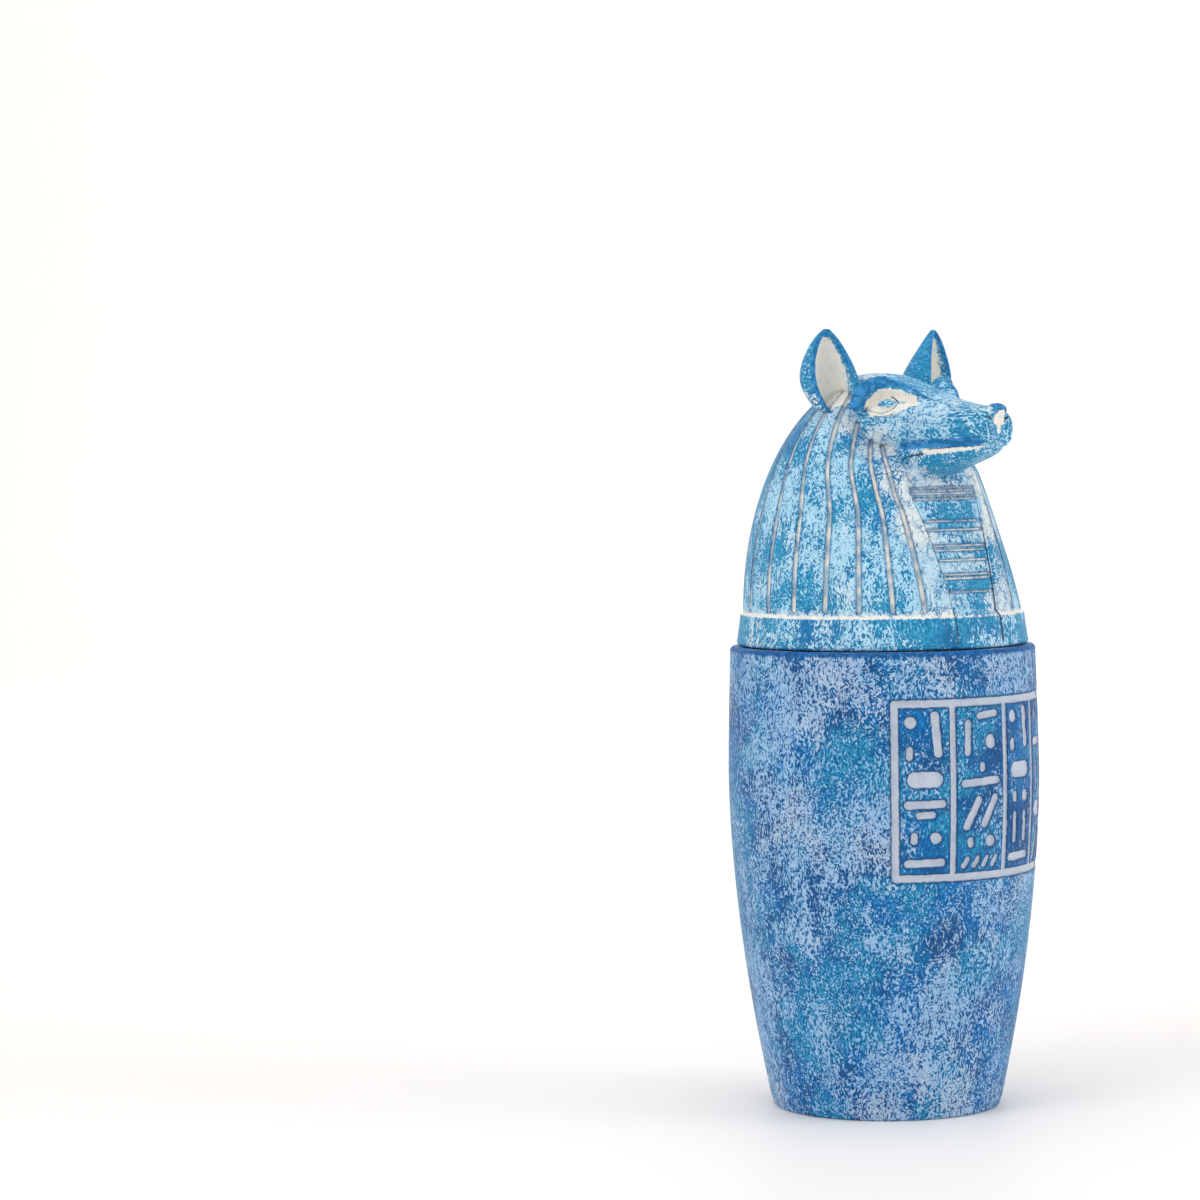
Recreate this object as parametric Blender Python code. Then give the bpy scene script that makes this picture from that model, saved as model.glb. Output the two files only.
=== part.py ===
# A jackal-headed canopic jar, cast in stone resin as a souvenir, in two pieces:
# a hollow jar body, and a carved lid that drops into its mouth and lifts off.
# Metres, +Z up, the underside on z = 0 round the jar's axis, the face towards -Y.

from math import asin, cos, exp, pi, radians, sin, sqrt

import bmesh
import bpy
from mathutils import Vector

# Jar body
body_height = 0.107
base_radius = 0.0264
belly_radius = 0.0360
belly_height = 0.078
rim_radius = 0.0353
wall = 0.0055
floor_thickness = 0.007
edge_round = 0.0009
body_sides = 64

# Panel engraved on the body, measured round the belly
panel_bottom = 0.0552
panel_top = 0.0964
panel_turn = radians(4.4)
border_width = 0.0019
divider_width = 0.0016
column_widths = (0.0120, 0.0136, 0.0108, 0.0115)
panel_depth = 0.0006
mark_depth = 0.0006

# Lid: the carved stopper
seat_gap = 0.0003
spigot_length = 0.006
spigot_clearance = 0.0006
spigot_chamfer = 0.0008
lid_height = 0.0727
band_radius = 0.0338
band_taper = 0.0010
band_height = 0.0073
band_step = 0.0006
crown_height = 0.0622
stripes_each_side = 11
first_stripe = radians(25.3)
stripe_step = radians(13.0)
stripe_width = 0.0013
stripe_depth = 0.0006
chest_half_low = 0.0073
chest_half_high = 0.0120
chest_widest = radians(28)
chest_depth = 0.0009
chest_line_width = 0.0009
chest_line_depth = 0.0004
snout_reach = 0.0395
head_half_width = 0.0132
head_squareness = 2.3
jaw_squareness = 2.2
eye_size = (0.0022, 0.0030, 0.0017)
nose_size = (0.0027, 0.0019, 0.0016)
lid_sides = 40

# How far a cutter stands out of the surface that it cuts
cutter_proud = 0.002


# Small helpers


def clamp(value, low=0.0, high=1.0):
    return max(low, min(high, value))


def smooth_step(value):
    share = clamp(value)
    return share * share * (3 - 2 * share)


def around(angle, radius, height):
    """A point at an angle from the front, counted towards +X."""
    return Vector((radius * sin(angle), -radius * cos(angle), height))


def add_object(name, bm):
    bmesh.ops.recalc_face_normals(bm, faces=bm.faces)
    mesh = bpy.data.meshes.new(name)
    bm.to_mesh(mesh)
    bm.free()
    made = bpy.data.objects.new(name, mesh)
    bpy.context.scene.collection.objects.link(made)
    return made


def as_guide(made):
    """A form that is only joined to, or cut from, another."""
    made.hide_render = True
    made.display_type = "WIRE"
    return made


def boolean(target, operand, operation):
    modifier = target.modifiers.new(operand.name, "BOOLEAN")
    modifier.operation = operation
    modifier.solver = "EXACT"
    modifier.object = operand


def join_forms(target, name, forms):
    """Joins several forms to a target at once."""
    group = bpy.data.collections.new(name)
    bpy.context.scene.collection.children.link(group)
    for form in forms:
        bpy.context.scene.collection.objects.unlink(form)
        group.objects.link(form)
    modifier = target.modifiers.new(name, "BOOLEAN")
    modifier.operation = "UNION"
    modifier.solver = "EXACT"
    modifier.operand_type = "COLLECTION"
    modifier.collection = group


def bridge_rings(bm, rings):
    """Quads between rings of vertices, with a fan over the first and the last ring."""
    loops = [[bm.verts.new(point) for point in ring] for ring in rings]
    count = len(loops[0])
    for low, high in zip(loops, loops[1:]):
        for i in range(count):
            j = (i + 1) % count
            bm.faces.new((low[i], low[j], high[j], high[i]))
    for loop in (loops[0], loops[-1]):
        middle = bm.verts.new(sum((v.co for v in loop), Vector()) / count)
        for i in range(count):
            bm.faces.new((loop[i], loop[(i + 1) % count], middle))


def loft(name, rings):
    bm = bmesh.new()
    bridge_rings(bm, rings)
    return add_object(name, bm)


def lathe(name, profile, sides):
    """Turns a profile of (radius, height) pairs that starts and ends on the axis."""
    bm = bmesh.new()
    points = [bm.verts.new((radius, 0, height)) for radius, height in profile]
    edges = [bm.edges.new(pair) for pair in zip(points, points[1:])]
    bmesh.ops.spin(
        bm, geom=points + edges, cent=(0, 0, 0), axis=(0, 0, 1), angle=2 * pi, steps=sides
    )
    bmesh.ops.remove_doubles(bm, verts=bm.verts, dist=1e-6)
    return add_object(name, bm)


def shade(made, material, angle=35):
    made.data.materials.append(material)
    made.data.shade_smooth()
    made.data.set_sharp_from_angle(angle=radians(angle))


def painted_resin(name, colour, roughness):
    material = bpy.data.materials.new(name)
    material.use_nodes = True
    shader = material.node_tree.nodes["Principled BSDF"]
    shader.inputs["Base Color"].default_value = (*colour, 1)
    shader.inputs["Roughness"].default_value = roughness
    shader.inputs["Metallic"].default_value = 0
    return material


# Jar body


def body_radius(height):
    """The barrel: a slow swell from the base to the belly, then a slight draw to the rim."""
    if height < belly_height:
        drop = 1 - height / belly_height
        return belly_radius - (belly_radius - base_radius) * drop**1.8
    rise = (height - belly_height) / (body_height - belly_height)
    return belly_radius - (belly_radius - rim_radius) * clamp(rise) ** 1.3


def mouth_radius():
    return rim_radius - wall


def cavity_radius(height):
    """Straight below the mouth, so that a core could be drawn, then inside the outer curve."""
    return min(mouth_radius(), body_radius(height) - wall)


def body_profile():
    outer_steps, inner_steps, round_steps = 8, 5, 2
    profile = [(0, 0), (base_radius - edge_round, 0)]
    for i in range(outer_steps + 1):
        height = edge_round + (body_height - 2 * edge_round) * i / outer_steps
        profile.append((body_radius(height), height))
    for i in range(1, round_steps + 1):
        turn = pi / 2 * i / round_steps
        profile.append((
            rim_radius - edge_round * (1 - cos(turn)),
            body_height - edge_round * (1 - sin(turn)),
        ))
    profile.append((mouth_radius() + edge_round, body_height))
    for i in range(inner_steps + 1):
        height = body_height - edge_round
        height -= (height - floor_thickness) * i / inner_steps
        profile.append((cavity_radius(height), height))
    profile.append((0, floor_thickness))
    return profile


def on_body(along, height, lift):
    """A point of the panel: along is measured round the belly from the panel's middle."""
    return around(panel_turn + along / belly_radius, body_radius(height) + lift, height)


# Engraving: prisms that follow a surface, to be cut from it


def grid_prism(bm, columns, rows, is_filled, place, depth):
    """Fills the chosen cells of a grid with blocks that share their edges."""
    found = {}

    def corner(i, j, lift):
        if (i, j, lift) not in found:
            found[i, j, lift] = bm.verts.new(place(columns[i], rows[j], lift))
        return found[i, j, lift]

    cells = [(i, j) for i in range(len(columns) - 1) for j in range(len(rows) - 1) if is_filled(i, j)]
    for i, j in cells:
        square = [(i, j), (i + 1, j), (i + 1, j + 1), (i, j + 1)]
        for lift in (cutter_proud, -depth):
            bm.faces.new([corner(*c, lift) for c in square])
        sides = [(i, j - 1), (i + 1, j), (i, j + 1), (i - 1, j)]
        for k, neighbour in enumerate(sides):
            if neighbour not in cells:
                a, b = square[k], square[(k + 1) % 4]
                above = [corner(*a, cutter_proud), corner(*b, cutter_proud)]
                bm.faces.new(above + [corner(*b, -depth), corner(*a, -depth)])


def stroke_prism(bm, start, end, half_width, place, depth, longest=0.004):
    """A round-ended stroke between two points of a surface."""
    start, end = Vector(start), Vector(end)
    run = end - start
    forward = run.normalized()
    across = Vector((-forward.y, forward.x))
    cap = [radians(60)]
    steps = max(1, int(run.length / longest + 0.999))
    stations = [(start - forward * half_width * sin(a), half_width * cos(a)) for a in cap]
    stations += [(start + run * i / steps, half_width) for i in range(steps + 1)]
    stations += [(end + forward * half_width * sin(a), half_width * cos(a)) for a in reversed(cap)]
    rings = []
    for centre, half in stations:
        left, right = centre + across * half, centre - across * half
        inner_left, inner_right = centre + across * half * 0.75, centre - across * half * 0.75
        rings.append([
            bm.verts.new(place(left.x, left.y, cutter_proud)),
            bm.verts.new(place(right.x, right.y, cutter_proud)),
            bm.verts.new(place(inner_right.x, inner_right.y, -depth)),
            bm.verts.new(place(inner_left.x, inner_left.y, -depth)),
        ])
    for near, far in zip(rings, rings[1:]):
        for k in range(4):
            m = (k + 1) % 4
            bm.faces.new((near[k], near[m], far[m], far[k]))
    bm.faces.new(rings[0])
    bm.faces.new(rings[-1])


# Plain marks of the panel, each a list of strokes (start, end, half width).
# Starts and ends are shares of the column's width and of the row's height.
mark_strokes = {
    "dot_and_blade": [
        ((-0.28, 0.26), (-0.27, 0.24), 0.0014),
        ((-0.30, -0.24), (-0.30, -0.36), 0.0009),
        ((0.20, 0.36), (0.26, -0.30), 0.0011),
    ],
    "oval": [((-0.20, 0.0), (0.20, 0.0), 0.0019)],
    "bar_on_dash": [((-0.34, 0.16), (0.34, 0.18), 0.0010), ((-0.12, -0.20), (0.14, -0.18), 0.0009)],
    "two_dots": [((-0.22, 0.10), (-0.22, -0.08), 0.0009), ((0.20, 0.02), (0.21, 0.0), 0.0014)],
    "bar": [((-0.34, 0.0), (0.32, 0.02), 0.0010)],
    "dash_and_dot": [
        ((-0.26, 0.20), (-0.28, -0.34), 0.0009),
        ((-0.02, 0.32), (0.32, 0.36), 0.0009),
        ((0.20, -0.14), (0.21, -0.18), 0.0015),
    ],
    "tick_on_bar": [((0.02, 0.36), (0.02, 0.24), 0.0008), ((-0.34, -0.20), (0.34, -0.14), 0.0010)],
    "slants": [((-0.30, -0.34), (-0.06, 0.30), 0.0010), ((0.06, -0.30), (0.30, 0.34), 0.0010)],
    "ticks": [((x - 0.04, -0.18), (x + 0.04, 0.18), 0.0007) for x in (-0.31, -0.1, 0.1, 0.31)],
    "uprights": [((x, 0.34), (x, -0.34), 0.0008) for x in (-0.22, 0.20)],
}

# The rows of each column, from the top: (mark, height as a share of the column)
column_rows = (
    (("dot_and_blade", 0.34), ("oval", 0.18), ("bar_on_dash", 0.18), ("two_dots", 0.17), ("bar", 0.13)),
    (("dash_and_dot", 0.33), ("tick_on_bar", 0.19), ("slants", 0.24), ("two_dots", 0.12), ("ticks", 0.12)),
    (("dot_and_blade", 0.31), ("oval", 0.19), ("two_dots", 0.14), ("uprights", 0.23), ("bar", 0.13)),
    (("two_dots", 0.18), ("bar", 0.15), ("uprights", 0.25), ("oval", 0.18), ("slants", 0.24)),
)


def column_edges():
    """The left and right edge of each column, round the belly from the panel's middle."""
    total = sum(column_widths) + 2 * border_width + (len(column_widths) - 1) * divider_width
    left = border_width - total / 2
    edges = []
    for width in column_widths:
        edges.append((left, left + width))
        left += width + divider_width
    return edges


def split(low, high, longest):
    steps = max(1, int((high - low) / longest + 0.999))
    return [low + (high - low) * i / steps for i in range(steps)]


def frame_cutter():
    """The border and the dividers as one grid with its columns left out."""
    facet = 2 * pi * belly_radius / body_sides
    edges = column_edges()
    stops = [edges[0][0] - border_width] + [x for pair in edges for x in pair]
    stops.append(edges[-1][1] + border_width)
    columns, is_column = [], []
    for k, (low, high) in enumerate(zip(stops, stops[1:])):
        added = split(low, high, facet)
        columns += added
        is_column += [k % 2 == 1] * len(added)
    columns.append(stops[-1])
    low, high = panel_bottom + border_width, panel_top - border_width
    rows = [panel_bottom] + split(low, high, 0.0125) + [high, panel_top]
    bm = bmesh.new()
    grid_prism(
        bm, columns, rows, lambda i, j: not (is_column[i] and 0 < j < len(rows) - 2), on_body, panel_depth
    )
    return as_guide(add_object("panel_frame_cut", bm))


def marks_cutter():
    bm = bmesh.new()
    inner_top, inner_bottom = panel_top - border_width, panel_bottom + border_width
    inner_height = inner_top - inner_bottom
    for (left, right), rows in zip(column_edges(), column_rows):
        middle, width, top = (left + right) / 2, right - left, inner_top
        for mark, share in rows:
            tall = share * inner_height
            for start, end, half_width in mark_strokes[mark]:
                ends = [(middle + x * width, top - tall / 2 + y * tall) for x, y in (start, end)]
                stroke_prism(bm, *ends, half_width, on_body, mark_depth)
            top -= tall
    return as_guide(add_object("panel_marks_cut", bm))


def make_body(material):
    body = lathe("jar_body", body_profile(), body_sides)
    boolean(body, frame_cutter(), "DIFFERENCE")
    boolean(body, marks_cutter(), "DIFFERENCE")
    shade(body, material)


# Lid: wig, band, chest and spigot as one turned grid. Heights are above the seat.


def wig_share(height):
    return clamp((height - band_height) / (crown_height - band_height))


def wig_radius(angle, height):
    """A dome at the back. The front slopes to the chin and then falls away behind the face."""
    foot = band_radius - band_taper - band_step
    share = wig_share(height)
    back = foot * sqrt(max(0, 1 - share * share))
    front = foot * (1 - 0.61 * share**1.24) * (1 - 0.6 * smooth_step((share - 0.58) / 0.24))
    front = min(front, back)
    return front + (back - front) * smooth_step((abs(angle) - radians(45)) / radians(42))


def chest_angle(height):
    """Half the angle of the bare chest between the two lappets of the wig."""
    share = clamp(wig_share(height) / 0.59)
    half = chest_half_low + (chest_half_high - chest_half_low) * share**1.3
    return min(asin(clamp(half / wig_radius(0, height), 0, 0.9)), chest_widest)


def fan(angle, height):
    """Where a line that starts at an angle on the band has drifted to at a height."""
    side = 1 if angle >= 0 else -1
    low, now, angle = chest_angle(band_height), chest_angle(height), abs(angle)
    if angle <= low:
        return side * angle * now / low
    angle += (now - low) * exp((low - angle) / radians(24))
    rise = smooth_step((wig_share(height) - 0.4) / 0.45)
    angle += radians(10) * rise * sin(angle)
    ear_side = radians(76)
    angle += (ear_side - angle) * 0.25 * rise * exp(-(((angle - ear_side) / radians(40)) ** 2))
    return side * angle


def stripe_angles():
    """Angles on the band, a little closer together towards the front."""
    last = stripes_each_side - 1
    growth = (pi - first_stripe - stripe_step * last) / last**2
    return [first_stripe + stripe_step * k + growth * k * k for k in range(stripes_each_side)]


def lid_columns():
    """(angle on the band, sideways offset, share of the stripe's depth, share of the chest's)."""
    edge = chest_angle(band_height)
    right = [(edge * 0.5, 0, 0, 1), (edge, -0.0004, 0, 1), (edge, 0, 0, 0)]
    for angle in stripe_angles():
        right += [(angle, -stripe_width / 2, 0, 0), (angle, 0, 1, 0), (angle, stripe_width / 2, 0, 0)]
    right.pop()
    left = [(-a, -offset, stripe, chest) for a, offset, stripe, chest in reversed(right[:-1])]
    return left + [(0, 0, 0, 1)] + right


def lid_ring(columns, height, radius=None, relief=1.0):
    ring = []
    for start, offset, stripe, chest in columns:
        angle = fan(start, height)
        reach = wig_radius(angle, height) if radius is None else radius
        lowered = reach - relief * (stripe_depth * stripe + chest_depth * chest)
        if radius is not None:
            lowered = reach - chest_depth * 0.4 * chest * relief
        ring.append(around(angle + offset / max(reach, 0.012), lowered, height))
    return ring


def wig_form():
    columns = lid_columns()
    spigot_radius = mouth_radius() - spigot_clearance
    band_top = band_radius - band_taper
    rings = [
        lid_ring(columns, -spigot_length, spigot_radius - spigot_chamfer, 0),
        lid_ring(columns, spigot_chamfer - spigot_length, spigot_radius, 0),
        lid_ring(columns, 0, spigot_radius, 0),
        lid_ring(columns, 0, band_radius - edge_round, 0),
        lid_ring(columns, edge_round, band_radius),
        lid_ring(columns, band_height, band_top),
        lid_ring(columns, band_height + band_step / 2, relief=0.2),
        lid_ring(columns, band_height + 3 * band_step),
    ]
    for share in (0.2, 0.35, 0.49, 0.6, 0.7, 0.8):
        rings.append(lid_ring(columns, band_height + share * (crown_height - band_height)))
    for share, relief in ((0.89, 0.6), (0.96, 0.0)):
        rings.append(lid_ring(columns, band_height + share * (crown_height - band_height), relief=relief))
    return loft("jackal_lid", rings)


# Head. Points are shares: forward of the snout's reach, sideways of the head's half width,
# upwards of the lid's height.


def at_head(forward, side, up):
    return Vector((side * head_half_width, -forward * snout_reach, up * lid_height))


# (forward, underside, top, half width) of the skull and upper muzzle, from the back
head_sections = (
    (-0.400, 0.600, 0.748, 0.600),
    (-0.253, 0.587, 0.824, 0.860),
    (-0.101, 0.580, 0.857, 0.985),
    (0.051, 0.574, 0.860, 1.000),
    (0.177, 0.582, 0.849, 0.924),
    (0.278, 0.594, 0.832, 0.826),
    (0.380, 0.601, 0.812, 0.720),
    (0.506, 0.611, 0.792, 0.621),
    (0.633, 0.617, 0.775, 0.561),
    (0.759, 0.620, 0.761, 0.515),
    (0.861, 0.622, 0.753, 0.492),
    (0.937, 0.623, 0.745, 0.460),
    (0.985, 0.640, 0.724, 0.330),
)

# The same for the lower jaw
jaw_sections = (
    (0.101, 0.464, 0.645, 0.850),
    (0.253, 0.484, 0.650, 0.765),
    (0.405, 0.509, 0.652, 0.650),
    (0.557, 0.536, 0.652, 0.550),
    (0.709, 0.563, 0.652, 0.462),
    (0.835, 0.585, 0.652, 0.405),
    (0.909, 0.604, 0.652, 0.340),
    (0.942, 0.620, 0.650, 0.230),
)

# (up, forward, side, half breadth, half depth) of an ear, both halves as shares of the head's half width
ear_sections = (
    (0.694, 0.010, 0.860, 0.110, 0.150),
    (0.727, 0.004, 0.990, 0.270, 0.290),
    (0.768, 0.000, 1.090, 0.410, 0.410),
    (0.812, -0.004, 1.155, 0.500, 0.470),
    (0.850, -0.006, 1.190, 0.515, 0.450),
    (0.892, -0.004, 1.230, 0.460, 0.350),
    (0.935, 0.002, 1.262, 0.350, 0.230),
    (0.972, 0.008, 1.282, 0.215, 0.130),
    (1.000, 0.013, 1.285, 0.060, 0.050),
)
ear_facing = radians(19)
ear_rim = 0.0011

# (forward, side, up, thickness as a share of the head's half width) along a brow
brow_path = (
    (0.157, 0.930, 0.748, 0.150),
    (0.178, 0.920, 0.783, 0.180),
    (0.222, 0.830, 0.812, 0.170),
    (0.284, 0.690, 0.820, 0.145),
    (0.360, 0.570, 0.808, 0.120),
    (0.450, 0.460, 0.792, 0.090),
    (0.540, 0.350, 0.769, 0.040),
)


def head_form(name, sections, squareness):
    """Rounded sections across the head, joined from the back to the nose."""
    rings = []
    for forward, low, high, half in sections:
        ring = []
        for i in range(lid_sides // 2):
            turn = 4 * pi * i / lid_sides
            x, z = cos(turn), sin(turn)
            x, z = (abs(c) ** (2 / squareness) * (1 if c > 0 else -1) for c in (x, z))
            ring.append(at_head(forward, half * x, (low + high) / 2 + (high - low) / 2 * z))
        rings.append(ring)
    return as_guide(loft(name, rings))


def ear_form(name, side):
    """A leaf-shaped cup: each ring runs round its back from rim to rim, then back round its hollow."""
    facing = Vector((side * sin(ear_facing), -cos(ear_facing), 0))
    across = Vector((-facing.y, facing.x, 0))
    turn, last = radians(35), len(ear_sections) - 1
    rings = []
    for i, (up, forward, out, breadth, depth) in enumerate(ear_sections):
        breadth, depth = breadth * head_half_width, depth * head_half_width
        rim_level = depth * sin(turn)
        inner = max(breadth * cos(turn) - ear_rim, breadth * 0.25)
        hollow = depth if 0 < i < last else 0
        back = [turn - (pi + 2 * turn) * k / 9 for k in range(10)]
        front = [pi * k / 5 for k in range(6)]
        outline = [(breadth * cos(t), depth * sin(t)) for t in back]
        outline += [(-inner * cos(t), rim_level - hollow * sin(t)) for t in front]
        centre = at_head(forward, side * out, up)
        rings.append([centre + across * x + facing * y for x, y in outline])
    return as_guide(loft(name, rings))


def tube_form(name, path, side):
    """A tapering round ridge through points on one side of the head."""
    points = [at_head(forward, side * out, up) for forward, out, up, _ in path]
    rings = []
    for i, centre in enumerate(points):
        before, after = points[max(i - 1, 0)], points[min(i + 1, len(points) - 1)]
        along = (after - before).normalized()
        across = along.cross(Vector((0, 0, 1))).normalized()
        above = across.cross(along)
        thick = path[i][3] * head_half_width
        turns = [2 * pi * k / 8 for k in range(8)]
        rings.append([centre + (across * cos(a) + above * sin(a)) * thick for a in turns])
    return as_guide(loft(name, rings))


def pebble(name, centre, sizes, turn=0.0):
    """A small ellipsoid, such as an eyeball or the pad of the nose."""
    bm = bmesh.new()
    bmesh.ops.create_uvsphere(bm, u_segments=12, v_segments=8, radius=1)
    for v in bm.verts:
        x, y, z = (c * size for c, size in zip(v.co, sizes))
        v.co = centre + Vector((x * cos(turn) - y * sin(turn), x * sin(turn) + y * cos(turn), z))
    return as_guide(add_object(name, bm))


def chest_line_cutter():
    """Level lines across the chest, as shares of the lid's height."""
    bm = bmesh.new()

    def on_chest(along, height, lift):
        radius = wig_radius(0, height) - chest_depth
        return around(along / radius, radius + lift, height)

    for up in (0.176, 0.217, 0.273, 0.304, 0.367, 0.395, 0.464, 0.497):
        height = up * lid_height
        half = chest_angle(height) * wig_radius(0, height) - 0.0016
        stroke_prism(
            bm, (-half, height), (half, height), chest_line_width / 2, on_chest, chest_line_depth, 0.006
        )
    return as_guide(add_object("chest_line_cut", bm))


def make_lid(material):
    before = set(bpy.data.objects)
    lid = wig_form()
    forms = [
        head_form("skull_form", head_sections, head_squareness),
        head_form("jaw_form", jaw_sections, jaw_squareness),
    ]
    for side, word in ((-1, "right"), (1, "left")):
        forms.append(ear_form(word + "_ear_form", side))
        forms.append(tube_form(word + "_brow_form", brow_path, side))
        eye = at_head(0.305, side * 0.67, 0.757)
        forms.append(pebble(word + "_eye_form", eye, eye_size, side * radians(14)))
    nose = at_head(0.968, 0, 0.738)
    forms.append(pebble("nose_form", nose, nose_size))
    join_forms(lid, "head_forms", forms)
    boolean(lid, chest_line_cutter(), "DIFFERENCE")
    for made in set(bpy.data.objects) - before:
        made.location.z = body_height + seat_gap
    shade(lid, material)


for old in list(bpy.data.objects):
    bpy.data.objects.remove(old)
resin = painted_resin("painted_resin", (0.10, 0.32, 0.62), 0.6)
make_body(resin)
make_lid(resin)
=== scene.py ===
from math import asin, atan, atan2, ceil, cos, exp, pi, radians, sin, sqrt

import bmesh
import bpy
import numpy as np
from mathutils import Matrix, Quaternion, Vector
from mathutils.bvhtree import BVHTree


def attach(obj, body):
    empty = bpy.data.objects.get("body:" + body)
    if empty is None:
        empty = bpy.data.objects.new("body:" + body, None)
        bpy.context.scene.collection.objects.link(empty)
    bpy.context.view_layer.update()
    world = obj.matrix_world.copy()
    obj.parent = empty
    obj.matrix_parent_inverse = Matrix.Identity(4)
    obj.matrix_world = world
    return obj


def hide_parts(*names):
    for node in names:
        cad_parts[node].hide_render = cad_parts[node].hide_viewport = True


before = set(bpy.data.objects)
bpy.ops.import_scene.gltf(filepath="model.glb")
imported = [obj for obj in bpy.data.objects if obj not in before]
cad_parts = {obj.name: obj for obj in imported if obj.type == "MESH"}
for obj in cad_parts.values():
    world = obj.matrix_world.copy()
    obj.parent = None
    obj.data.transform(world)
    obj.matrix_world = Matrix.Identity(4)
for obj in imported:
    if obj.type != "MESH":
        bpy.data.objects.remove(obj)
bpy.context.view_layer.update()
print("frame loaded:", sorted(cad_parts))

# Metres, the jar's axis on Z, the face towards -Y. Angles count from the front towards +X.

jarShape = {
    "height": 0.107,
    "baseRadius": 0.0264,
    "bellyRadius": 0.0360,
    "bellyHeight": 0.078,
    "rimRadius": 0.0353,
    "wall": 0.0055,
    "floor": 0.007,
    "edgeRound": 0.0009,
    "footCurve": 1.8,  # how fast the wall draws in below and above the belly
    "shoulderCurve": 1.3,
    "coarseStep": 0.0013,  # mesh size away from the panel
    "fineStep": 0.00036,  # mesh size in the panel
}

panelShape = {
    "bottom": 0.0552,
    "top": 0.0964,
    "turn": radians(4.4),
    "border": 0.0019,
    "divider": 0.0016,
    "columns": (0.0120, 0.0136, 0.0108, 0.0115),
    "depth": 0.0006,
    "wobble": 0.00024,  # how far the hand-cut edges stray
    "fieldBlue": -0.5,  # the field keeps more of its blue
}

lidShape = {
    "seatGap": 0.0003,
    "spigotLength": 0.006,
    "spigotClearance": 0.0006,
    "spigotChamfer": 0.0008,
    "height": 0.0727,
    "bandRadius": 0.0338,
    "bandTaper": 0.0010,
    "bandHeight": 0.0073,
    "bandStep": 0.0006,
    "crownHeight": 0.0622,
    "stripesEachSide": 11,
    "firstStripe": radians(25.3),
    "stripeStep": radians(13.0),
    "stripeWidth": 0.0013,
    "stripeDepth": 0.0006,
    "chestHalfLow": 0.0073,
    "chestHalfHigh": 0.0120,
    "chestWidest": radians(28),
    "chestTop": 0.59,  # share of the wig's height
    "chestSpread": 1.3,
    "chestDepth": 0.0009,
    "chestLines": (0.176, 0.217, 0.229, 0.273, 0.304, 0.319, 0.367, 0.395, 0.464, 0.480, 0.497),
    # up, pale (+) or blue (-), as shares of the lid's height
    "chestBands": (
        (0.115, -0.3), (0.14, 0.45), (0.166, 0.3), (0.178, -0.7), (0.210, -0.7), (0.232, 0.45), (0.263, 0.45),
        (0.280, -0.2), (0.303, 0.0), (0.312, 0.5), (0.355, 0.5), (0.380, 0.0), (0.405, -0.8), (0.450, -0.8),
        (0.470, 0.35),
    ),
    "bandBlue": -0.35,
    "besideChestPale": 0.48,
    "frontLean": 0.61,  # the wig's front leans back more than its sides
    "frontCurve": 1.24,
    "neckTuck": 0.6,  # under the head
    "frontReach": radians(45),
    "sideReach": radians(42),
    "fanFade": radians(24),  # how far round the stripes are pushed aside by the chest
    "crownTurn": radians(10),  # near the crown the stripes lean back
    "earSide": radians(76),  # and are drawn in to the ears
    "earPull": 0.25,
    "earPullWidth": radians(40),
    "rowStep": 0.00046,  # mesh sizes
    "columnStep": 0.0010,
    "grooveStep": 0.0003,
    "snoutReach": 0.0395,
    "headHalfWidth": 0.0132,
}
lidBase = jarShape["height"] + lidShape["seatGap"]


# Small helpers


def clamp(value, low=0.0, high=1.0):
    return max(low, min(high, value))


def smoothStep(value):
    share = clamp(value)
    return share * share * (3 - 2 * share)


def around(angle, radius, height):
    return Vector((radius * sin(angle), -radius * cos(angle), height))


def spread(low, high, step):  # evenly spaced numbers, ends kept
    return list(np.linspace(low, high, max(2, ceil(abs(high - low) / step) + 1)))


def linkObject(name, mesh):
    made = bpy.data.objects.new(name, mesh)
    bpy.context.scene.collection.objects.link(made)
    return made


def turnFacesOut(mesh):
    bm = bmesh.new()
    bm.from_mesh(mesh)
    bmesh.ops.recalc_face_normals(bm, faces=bm.faces)
    bm.to_mesh(mesh)
    bm.free()


def meshFromRings(name, rings):  # quads between rings of points, a fan over both ends
    count = len(rings[0])
    points = [tuple(p) for ring in rings for p in ring]
    faces = []
    for k in range(len(rings) - 1):
        low, high = k * count, (k + 1) * count
        faces += [(low + i, low + (i + 1) % count, high + (i + 1) % count, high + i) for i in range(count)]
    for k in (0, len(rings) - 1):
        points.append(tuple(np.mean([tuple(p) for p in rings[k]], axis=0)))
        faces += [(k * count + i, k * count + (i + 1) % count, len(points) - 1) for i in range(count)]
    mesh = bpy.data.meshes.new(name)
    mesh.from_pydata(points, [], faces)
    turnFacesOut(mesh)
    return linkObject(name, mesh)


def applyModifiers(made):  # the evaluated shape becomes the object's own plain mesh
    graph = bpy.context.evaluated_depsgraph_get()
    graph.update()
    mesh = bpy.data.meshes.new_from_object(
        made.evaluated_get(graph), preserve_all_data_layers=True, depsgraph=graph)
    old = made.data
    made.modifiers.clear()
    made.data = mesh
    mesh.name = made.name
    bpy.data.meshes.remove(old)
    return made


def addNode(tree, kind, inputs=None, **settings):
    node = tree.nodes.new(kind)
    count = len(tree.nodes) - 1
    node.location = (220 * (count // 5), -240 * (count % 5))
    for name, value in settings.items():
        setattr(node, name, value)
    for name, value in (inputs or {}).items():
        socket = node.inputs[name]
        if isinstance(value, bpy.types.NodeSocket):
            tree.links.new(value, socket)
        else:
            socket.default_value = value
    return node


def calc(tree, operation, first, second=None, third=None, limit=False):
    inputs = {i: v for i, v in enumerate((first, second, third)) if v is not None}
    return addNode(tree, "ShaderNodeMath", inputs, operation=operation, use_clamp=limit).outputs[0]


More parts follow.
